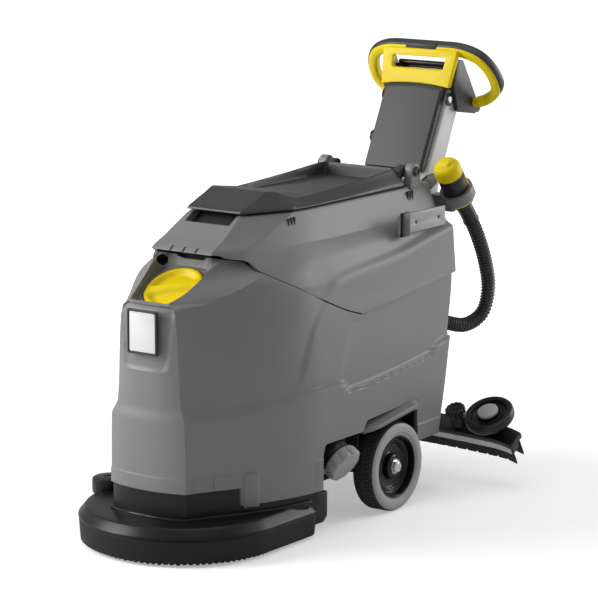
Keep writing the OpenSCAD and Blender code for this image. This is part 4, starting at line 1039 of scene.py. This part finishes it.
class SCRUBBER_OT_deck(Piece, bpy.types.Operator):
    """Brush deck with its riser, splash skirt and bristles"""
    bl_idname = "scrubber.deck"
    bl_label = "Brush deck"

    def execute(self, context):
        deck = loft("deck_moulding", [deck_ring(e, z) for e, z in (
            (8.5, 55.5), (6, 58), (0.8, 58), (0.2, 59), (0.6, 61.5), (3, 64.5), (8.4, 71), (14, 77.8), (16.5, 80.2),
            (20, 81.2), (60, 81.6))], 30)
        ring = base_ring(124, 5.0, 0.7)[:, :2]
        riser = prism("riser", ring[ring[:, 1] < -262], 70, 139.6, 2, 30)
        ring = base_ring(124, -2.5, 0.7)[:, :2]
        collar = soften(prism("collar", ring[ring[:, 1] < -300], 73, 87.5, 2, 30), 3.5, 3)
        carve(riser, through("hem", (-471, 101), (-200, 160)))
        carve(deck, collar, riser, operation="UNION", angle=30)
        carve(deck, loft("well", [deck_ring(9.5, 40), deck_ring(9.5, 56.2), deck_ring(40, 66)]), angle=30)
        fit(deck, "chassis", "black_plastic", "deck", "brush_deck")
        stop = [(-278, 67), (-265, 67), (-265, 18), (-228, 18), (-214, 30), (-214, 86), (-278, 79)]
        fit(both_sides("deck_stops", soften(prism("stop", stop, 150, 196), 3, 3)), "chassis", "black_plastic", "deck")
        bumper = turned("deck_bumper", [(0.01, -14), (36, -14), (39.4, -12), (40.4, -8), (40.4, 15), (39, 19),
                                        (36, 20.6), (14, 21.4), (12, 19.6), (0.01, 19.6)],
                        (-216, -450, 83), (0, 0, 1), 72)
        fit(bumper, "chassis", "black_plastic", "deck")
        skirt = loft("splash_skirt", [deck_ring(e, z) for e, z in (
            (6.4, 8.4), (5.2, 8), (4.4, 9), (2.8, 30), (1.6, 50), (1.8, 55.4), (2.8, 57), (5.6, 57), (6.6, 30),
            (8.4, 9))], closed=True)
        fit(skirt, "chassis", "black_rubber", "rubber", "deck_skirt")
        bristles = make_mesh("bristle_tufts", *tufts(context.scene.scrubber_sizes.bristle_tufts), 50)
        fit(bristles, "brush", "red_bristle", "bristle", "bristle_ring")
        return {"FINISHED"}


TREAD_FROM, TREAD_MIDDLE, TREAD_TO = 4.5, 29, 53.5
TREAD_INNER, TREAD_ROOT, TREAD_BAR = 96.5, 97.3, 2.6


def tread_rings(side, bars):
    """Rings of a tread with two rows of slanted bars, and its inner face."""
    turn = np.linspace(0, 2 * math.pi, bars * 6, endpoint=False)

    def ring(h, r):
        return np.stack([np.full(len(turn), side * (WHEEL_X + h)), r * np.cos(turn), WHEEL_Z + r * np.sin(turn)], 1)
    rings = []
    for h in (TREAD_FROM, 6.5, 9, 12, 16, 20, 24, 27, 28.6, 29.4, 31, 34, 38, 42, 46, 49, 51.5, TREAD_TO):
        stagger = 0.5 if h > TREAD_MIDDLE else 0
        phase = turn * bars / (2 * math.pi) + stagger + abs(h - TREAD_MIDDLE) * 0.035
        rib = ease(0.0, 0.22, np.abs((phase % 1) - 0.5) - 0.12)
        edge = min(1.0, min(h - TREAD_FROM, TREAD_TO - h) / 5 + 0.1) * (0.15 if 28 < h < 30 else 1)
        rings.append(ring(h, TREAD_ROOT + TREAD_BAR * (1 - (1 - rib) * 0.75) * edge))
    return rings + [ring(h, TREAD_INNER) for h in (TREAD_TO, TREAD_FROM)]


class SCRUBBER_OT_wheels(Piece, bpy.types.Operator):
    """Two wheels: ribbed tread, grey tyre wall, dished rim, nut"""
    bl_idname = "scrubber.wheels"
    bl_label = "Wheels"

    def execute(self, context):
        wall = [(70.1, 4), (76, 2.2), (90, 0.8), (95.5, 2.6), (97, 6), (97, 52), (96.4, 54.6), (93.5, 57), (89, 57.9),
                (80, 57.9), (76.5, 56.6), (74, 54.2), (70.1, 54)]
        dish = [(10.06, 4.2), (69.9, 4.2), (69.9, 54.6), (69, 56), (67, 56.2), (65.4, 54.6), (64, 49), (62.6, 41),
                (60.4, 38.6), (57, 37.4), (55.6, 38.8), (53.4, 39.2), (51.6, 38.2), (50, 35.4), (44, 33), (36, 32),
                (31, 32.4), (28.4, 34), (26.8, 40), (25.6, 45.4), (23, 47.6), (10.06, 48)]
        for side, name in SIDES:
            at, axis, body = (side * WHEEL_X, 0, WHEEL_Z), (side, 0, 0), f"{name}_wheel"
            tyre = turned(f"{name}_tyre_wall", wall, at, axis, 96, 30)
            fit(tyre, body, "grey_tyre", "tyre", f"{name}_tyre")
            rings = tread_rings(side, context.scene.scrubber_sizes.tread_bars)
            fit(loft(f"{name}_tread", rings, 30, closed=True), body, "grey_tyre", "tread")
            rim = turned(f"{name}_rim_dish", dish, at, axis, 96, 24)
            fit(rim, body, "black_plastic", "rim", f"{name}_rim")
        nut = turned("nut", [(16.5, 48.3), (16.5, 50), (14.4, 50), (14.4, 55.8), (12.8, 57.4), (10.8, 57.4),
                             (9.9, 57.2), (8.6, 58.2), (0.01, 58.4), (0.01, 48.3)], (WHEEL_X, 0, WHEEL_Z), (1, 0, 0),
                     48, 30)
        self.make_hexagon(nut, 0.0121, 0.0150)
        fit(both_sides("wheel_nuts", nut), "chassis", "steel", "steel", "axle_nuts")
        return {"FINISHED"}

    def make_hexagon(self, nut, low, high):
        """Move the rings between two radii, in metres, from a circle to a hexagon."""
        y0, z0 = AXLE_Y * MM, WHEEL_Z * MM
        for v in nut.data.vertices:
            y, z = v.co.y - y0, v.co.z - z0
            if low < math.hypot(y, z) < high:
                k = math.cos(math.pi / 6) / math.cos((math.atan2(z, y) % (math.pi / 3)) - math.pi / 6)
                v.co.y, v.co.z = y0 + y * k, z0 + z * k
        shade(nut, 30)


COLUMN_Y, COLUMN_KNEE, COLUMN_LEAN = 300, 671, 0.48773


def column_front_y(z):
    """Front of the push column at height z: upright below the knee, leaning back above it."""
    return COLUMN_Y + np.maximum(0, np.asarray(z, float) - COLUMN_KNEE) * COLUMN_LEAN


class SCRUBBER_OT_column(Piece, bpy.types.Operator):
    """Push column, its cover, bolts, and the hose end's holder"""
    bl_idname = "scrubber.column"
    bl_label = "Column and hose end"

    def execute(self, context):
        refine("column_shell", "column_sides", 4, 3, "chassis", "light_grey", "light")
        self.cover()
        self.bolts()
        refine("hose_bracket", "hose_holder", 4, 3, "chassis", "body_grey", "body")
        self.hose_end()
        refine("tank_hinges", "tank_hinge_plates", 2, 2, "chassis", "frame_black", "frame")
        refine("drain_spigot", "drain_stub", 1.2, 2, "chassis", "black_plastic", "black")
        return {"FINISHED"}

    def cover(self):
        """Bulged cover with rounded ends on the column's front."""
        x = np.linspace(-1, 1, 29)
        bulge = 3.4 * (1 - x ** 2) - 5.5 * np.maximum(0, (np.abs(x) - 0.93) / 0.07) ** 2
        half, slant = 80, 0.488
        rows = []
        for z in np.concatenate([np.linspace(708, 716, 4), np.linspace(720, 884, 21), np.linspace(886, 898, 6)]):
            y = column_front_y(z)
            end = 5 * max(0, (714 - z) / 6) ** 2 + 4 * max(0, (z - 890) / 8) ** 2
            drop = 7 * x ** 2 * ease(868, 898, z)
            front = np.stack([x * half, y - 8 - bulge + end - drop * slant, z - drop], 1)
            back = np.stack([x[::-1] * half, y + 9 - drop[::-1] * slant, z - drop[::-1]], 1)
            rows.append(np.concatenate([front, back]))
        fit(loft("column_front", rows, 38), "chassis", "lid_grey", "lid", "column_cover")

    def bolts(self):
        """Two bolts on each side of the column, each in a ring."""
        head = [(0.01, 0.3), (9, 0.3), (9, 4), (8, 5.6), (5.6, 6), (4.8, 4.6), (0.01, 4.6)]
        ring = [(9.6, 0.2), (15, 0.2), (15, 2.4), (13.6, 3.6), (11, 3.6), (9.6, 2)]
        places = ((87, 415.1, 864), (87, 334, 470))
        for name, profile, slot, finish, *nodes in (
                ("column_bolt_heads", head, "steel", "steel", "column_bolts"),
                ("column_bolt_rings", ring, "black_plastic", "black")):
            solids = [turned("bolt", profile, at, (1, 0, 0), 40) for at in places]
            fit(both_sides(name, joined("bolts", *solids)), "chassis", slot, finish, *nodes)

    def hose_end(self):
        """Barrel of the drain hose with its cap, band and strap."""
        at, up = BARREL_AT, BARREL_UP
        barrel = turned("hose_barrel", [(13.5, -16), (27, -16), (29.4, -14), (30, -11), (30, 58), (28.6, 60),
                                        (28.6, 64), (30, 66), (30, 68.5), (28.5, 70), (22, 70), (22, 56), (13.5, 50)],
                        at, up, 64, 30)
        fit(barrel, "chassis", "black_plastic", "black", "drain_barrel")
        cap = turned("cap", [(0.01, 60), (21.9, 60), (21.9, 70.3), (31, 70.3), (32, 71.5), (32, 86), (30.8, 93),
                             (27.4, 99), (21, 103), (12, 104.6), (0.01, 105)], at, up, 72, 40)
        knob = turned("grip", [(0.01, -15), (17, -15), (19.5, -12), (20, -6), (20, 6), (19.5, 12), (17, 15),
                               (0.01, 15)], at + up * 96 + np.array([0, 6, 0]), (1, 0, 0), 40)
        carve(cap, knob, operation="UNION")
        fit(cap, "drain", "yellow_plastic", "yellow", "drain_cap")
        band = turned("barrel_band", [(30.05, -8), (32, -8), (32.4, -6), (32.4, 2), (32, 4), (30.05, 4)], at, up,
                      64, 30)
        side = np.cross(up, [0.72, 0.55, 0.42])
        side = side / np.linalg.norm(side)
        out = np.cross(side, up)
        section = ((-8, 29.6), (8, 29.6), (8, 31.6), (6.5, 32.6), (-6.5, 32.6), (-8, 31.6))
        strap = loft("strap", [[at + up * h + side * w + out * (r - 0.012 * w * w) for w, r in section]
                               for h in (-6, 10, 30, 50, 64, 68)])
        fit(joined("barrel_bands", band, strap), "chassis", "yellow_plastic", "yellow")


BAR_Y, BAR_Z = 444.764, 976.0
LOOP_FOOT = (111, 504.764, 850)
LOOP_SIDE = (0, 0.85, 0.527)
LOOP_HALF, LOOP_NARROW = 174, 0.967
PANEL_Y, PANEL_Z, PANEL_LEAN = 403.764, 896, 0.28


def handle_path():
    """Centre line of the handle loops, from the left foot over the bar to the right foot."""
    half = [(133.98, BAR_Y + 68, BAR_Z - 119)]
    half += [(LOOP_HALF * f, BAR_Y + 0.62 * d, BAR_Z - d) for f, d in (
        (0.908, 104), (0.983, 88), (1, 70), (0.977, 50), (0.925, 32), (0.84, 17), (0.713, 7), (0.546, 1), (0.3, 0),
        (0, 0))]
    half = [LOOP_FOOT] + [(x * LOOP_NARROW, y, z) for x, y, z in half]
    return even(spline(half + [(-x, y, z) for x, y, z in half[-2::-1]], 7), 7)


def leaning_panel(name, outline, near, far):
    """Outline in x and z drawn out through the sloping panel between the loops."""
    p = np.array(outline, float)
    y = PANEL_Y + PANEL_LEAN * (p[:, 1] - PANEL_Z)
    return loft(name, [np.column_stack([p[:, 0], y + d, p[:, 1]]) for d in (near, far)])


class SCRUBBER_OT_handle(Piece, bpy.types.Operator):
    """Looped handle, soft grip, console, lever and controls"""
    bl_idname = "scrubber.handle"
    bl_label = "Handle and console"

    def execute(self, context):
        path = handle_path()
        self.loops(path)
        self.grip(path[path[:, 2] > BAR_Z - 100])
        for node, name, width, body, slot, finish in (
                ("console", "console_housing", 6, "chassis", "lid_grey", "lid"),
                ("control_panel", "control_fascia", 1.2, "chassis", "black_plastic", "black"),
                ("drive_lever", "drive_bar", 2, "press_bar", "black_plastic", "black"),
                ("lift_lever", "lift_handle", 2, "lift", "black_plastic", "black"),
                ("lever_pin", "lift_pin", 0.8, "chassis", "steel", "steel"),
                ("program_switch", "program_dial", 1, "program", "black_plastic", "black"),
                ("water_knob", "water_dial", 1, "water", "black_plastic", "black")):
            refine(node, name, width, 3, body, slot, finish)
        return {"FINISHED"}

    def loops(self, path):
        """Loops, the panel between them with its window, and the feet."""
        section = rounded(oblong((-12.5, -10.5), (11, 13.5)), 9, 5)
        tube = sweep("loops", path, section, LOOP_SIDE, 50)
        x = np.linspace(-1, 1, 25)
        low = np.stack([x * 93, 898 - 7 * x ** 2], 1)
        top = rounded([(93, 891), (103, 975), (-103, 975), (-93, 891)], 9)[6:18]
        panel = leaning_panel("panel", np.concatenate([low, top]), -0.6, 14.8)
        carve(panel, leaning_panel("window", rounded([(-70, 930), (70, 930), (73, 958), (-73, 958)], 6), -40, 60))
        soften(panel, 2.4, 3, 40)
        foot = turned("foot", [(0.01, -12), (9, -12), (11, -10), (11, 3), (0.01, 3)], LOOP_FOOT, (1, 0, 0), 32)
        obj = joined("handle_loops", tube, panel, both_sides("feet", foot))
        shade(obj, 40)
        fit(obj, "chassis", "yellow_plastic", "yellow", "handle_frame")

    def grip(self, path):
        """Soft sleeve over the bar, thinner towards its ends, and the tab on its front."""
        index = np.arange(len(path))
        taper = np.minimum(1, 0.55 + 0.12 * np.minimum(index, index[::-1]))
        sleeve = rounded([(-7, -3), (-8, -9), (-4, -14.5), (9, -15.5), (16.5, -10), (16, 2), (8, 4)], 6, 5)
        rings = [[p + u * k * side + (-4 + (v + 4) * k) * up for u, v in sleeve]
                 for p, k, (side, up) in zip(path, taper, directions(path, LOOP_SIDE))]
        fit(loft("soft_grip", rings, 50), "chassis", "lid_grey", "lid", "handle_grip")
        tab = prism("bar_tab", [(431, 972), (437, 972), (444, 990), (436, 990), (430, 985)], -44, 40)
        fit(soften(tab, 1.6, 2), "chassis", "lid_grey", "lid")


RAISE = math.radians(30)
PIVOT_Y, PIVOT_Z = 186, 95
SQ_HALF, SQ_MIDDLE_Y = 353, 322
SQ_UP = np.array([0, -math.sin(RAISE), math.cos(RAISE)])


def raised(x, y, z):
    """Point of the lowered squeegee, turned up about its pivot."""
    dy, dz = y - PIVOT_Y, z - PIVOT_Z
    return np.array([x, PIVOT_Y + dy * math.cos(RAISE) - dz * math.sin(RAISE),
                     PIVOT_Z + dy * math.sin(RAISE) + dz * math.cos(RAISE)])


def bow(x):
    """Curve of the squeegee in plan."""
    u = np.abs(x) / SQ_HALF
    return SQ_MIDDLE_Y - 14 * u * u - 10 * np.maximum(0, (u - 0.82) / 0.18) ** 2


class SCRUBBER_OT_squeegee(Piece, bpy.types.Operator):
    """Suction squeegee: bar, blades, guide rollers and hand screws"""
    bl_idname = "scrubber.squeegee"
    bl_label = "Squeegee"

    def execute(self, context):
        for node, width in (("squeegee_bar", 2.2), ("squeegee_arms", 3), ("suction_port", 1.5)):
            refine(node, f"{node}_moulding", width, 3, "squeegee", "black_plastic", "black")
        for node in ("front_blade", "rear_blade"):
            refine(node, f"{node}_rubber", 0.4, 1, "squeegee", "black_rubber", "rubber")
        self.rollers_and_screws()
        refine("blade_strip", "blade_clamp", 0.6, 1, "squeegee", "steel", "steel")
        return {"FINISHED"}

    def rollers_and_screws(self):
        """Guide roller on its post, and hand screw, on each side."""
        roller_x, screw_x = 280, 190
        roller = [(8.06, 0.4), (49, 0.4), (55, 2.2), (57.4, 6), (58, 12), (57.6, 19), (55.5, 22.8), (51, 24.6),
                  (47, 24.2), (44, 22), (41, 15), (37, 13), (27, 12.4), (25.4, 14), (25, 22), (8.06, 22)]
        post = [(0.01, -37), (8, -37), (8, 22.4), (22, 22.4), (23.6, 23.6), (24, 26), (23.4, 29), (20, 31),
                (0.01, 31.4)]
        screw = [(0.01, -28, 0), (5, -28, 0), (5, 0.3, 0), (20, 0.3, 0.5), (22.6, 1.6, 1), (24, 4, 1), (24, 14, 1),
                 (23, 16.8, 1), (20.6, 18.3, 0.6), (15, 18.3, 0), (13.5, 16.4, 0), (5, 16.4, 0), (4, 17.6, 0),
                 (0.01, 17.6, 0)]
        posts = []
        for side, name in SIDES:
            at = raised(side * roller_x, bow(roller_x) + 8, 85)
            wheel = turned(f"{name}_roller_wheel", roller, at, SQ_UP, 96, 30)
            fit(wheel, f"{name}_guide", "black_plastic", "black", f"{name}_roller")
            posts.append(turned("post", post, at, SQ_UP, 64, 30))
            at = raised(side * screw_x, bow(screw_x), 90)
            knob = fluted(f"{name}_hand_screw", screw, at, SQ_UP, 12, 3)
            fit(knob, f"{name}_screw", "black_plastic", "black", f"{name}_knob")
        caps = joined("roller_caps", *posts)
        shade(caps, 30)
        fit(caps, "squeegee", "steel", "light", "roller_pins")


class SCRUBBER_OT_side(Piece, bpy.types.Operator):
    """Filter cap, accessory rail and its clip"""
    bl_idname = "scrubber.side"
    bl_label = "Side fittings"

    def execute(self, context):
        knob = [(0.01, -15, 0), (34, -15, 0), (36, -13.4, 0), (36.5, -10, 0), (41.5, -9.4, 0.3), (43, -7.6, 0.9),
                (43, 9, 1), (41.6, 12.4, 0.9), (38.6, 14.2, 0.4), (34, 14.8, 0), (18, 16, 0), (0.01, 16.4, 0)]
        at = middle("filter_cap") - [0, AXLE_Y, 0]
        fit(fluted("filter_knob", knob, at, FILTER_AXIS, 10, 5, 140, 30), "filter", "body_grey", "rail", "filter_cap")
        refine("accessory_rail", "rail_bar", 1.2, 2, "tank", "light_grey", "rail")
        refine("rail_clip", "rail_hook", 1.5, 2, "clip", "black_plastic", "black")
        return {"FINISHED"}


class SCRUBBER_OT_carried(Piece, bpy.types.Operator):
    """Finishes for the solids that are shown as they are"""
    bl_idname = "scrubber.carried"
    bl_label = "Carried solids"

    def execute(self, context):
        slots = {s["node"]: s["material_slot"] for s in frame["record"]["subparts"]}
        for name, obj in NODES.items():
            obj.data.materials.clear()
            obj.data.materials.append(FINISH[SLOT_FINISH[slots[name]]])
        return {"FINISHED"}


class SCRUBBER_PT_panel(bpy.types.Panel):
    """Sizes, colours and build steps of the scrubber"""
    bl_label = "Floor scrubber"
    bl_idname = "SCRUBBER_PT_panel"
    bl_space_type = "VIEW_3D"
    bl_region_type = "UI"
    bl_category = "Scrubber"

    def draw(self, context):
        for group in (context.scene.scrubber_sizes, context.scene.scrubber_colours):
            box = self.layout.box()
            for key in group.bl_rna.properties.keys():
                if key not in ("rna_type", "name"):
                    box.prop(group, key)
        for op in OPERATORS:
            self.layout.operator(op.bl_idname)


OPERATORS = (SCRUBBER_OT_stage, SCRUBBER_OT_hose, SCRUBBER_OT_carried, SCRUBBER_OT_base, SCRUBBER_OT_hood,
             SCRUBBER_OT_lid, SCRUBBER_OT_front, SCRUBBER_OT_deck, SCRUBBER_OT_wheels, SCRUBBER_OT_column,
             SCRUBBER_OT_handle, SCRUBBER_OT_squeegee, SCRUBBER_OT_side)
CLASSES = (ScrubberColours, ScrubberSizes, *OPERATORS, SCRUBBER_PT_panel)


def register():
    """Register the classes and hang the settings on the scene."""
    for cls in CLASSES:
        bpy.utils.register_class(cls)
    bpy.types.Scene.scrubber_colours = bpy.props.PointerProperty(type=ScrubberColours)
    bpy.types.Scene.scrubber_sizes = bpy.props.PointerProperty(type=ScrubberSizes)


def unregister():
    """Undo register."""
    del bpy.types.Scene.scrubber_sizes
    del bpy.types.Scene.scrubber_colours
    for cls in reversed(CLASSES):
        bpy.utils.unregister_class(cls)


def main():
    """Build every piece."""
    register()
    for op in OPERATORS:
        group, name = op.bl_idname.split(".")
        getattr(getattr(bpy.ops, group), name)()


if __name__ == "__main__":
    main()
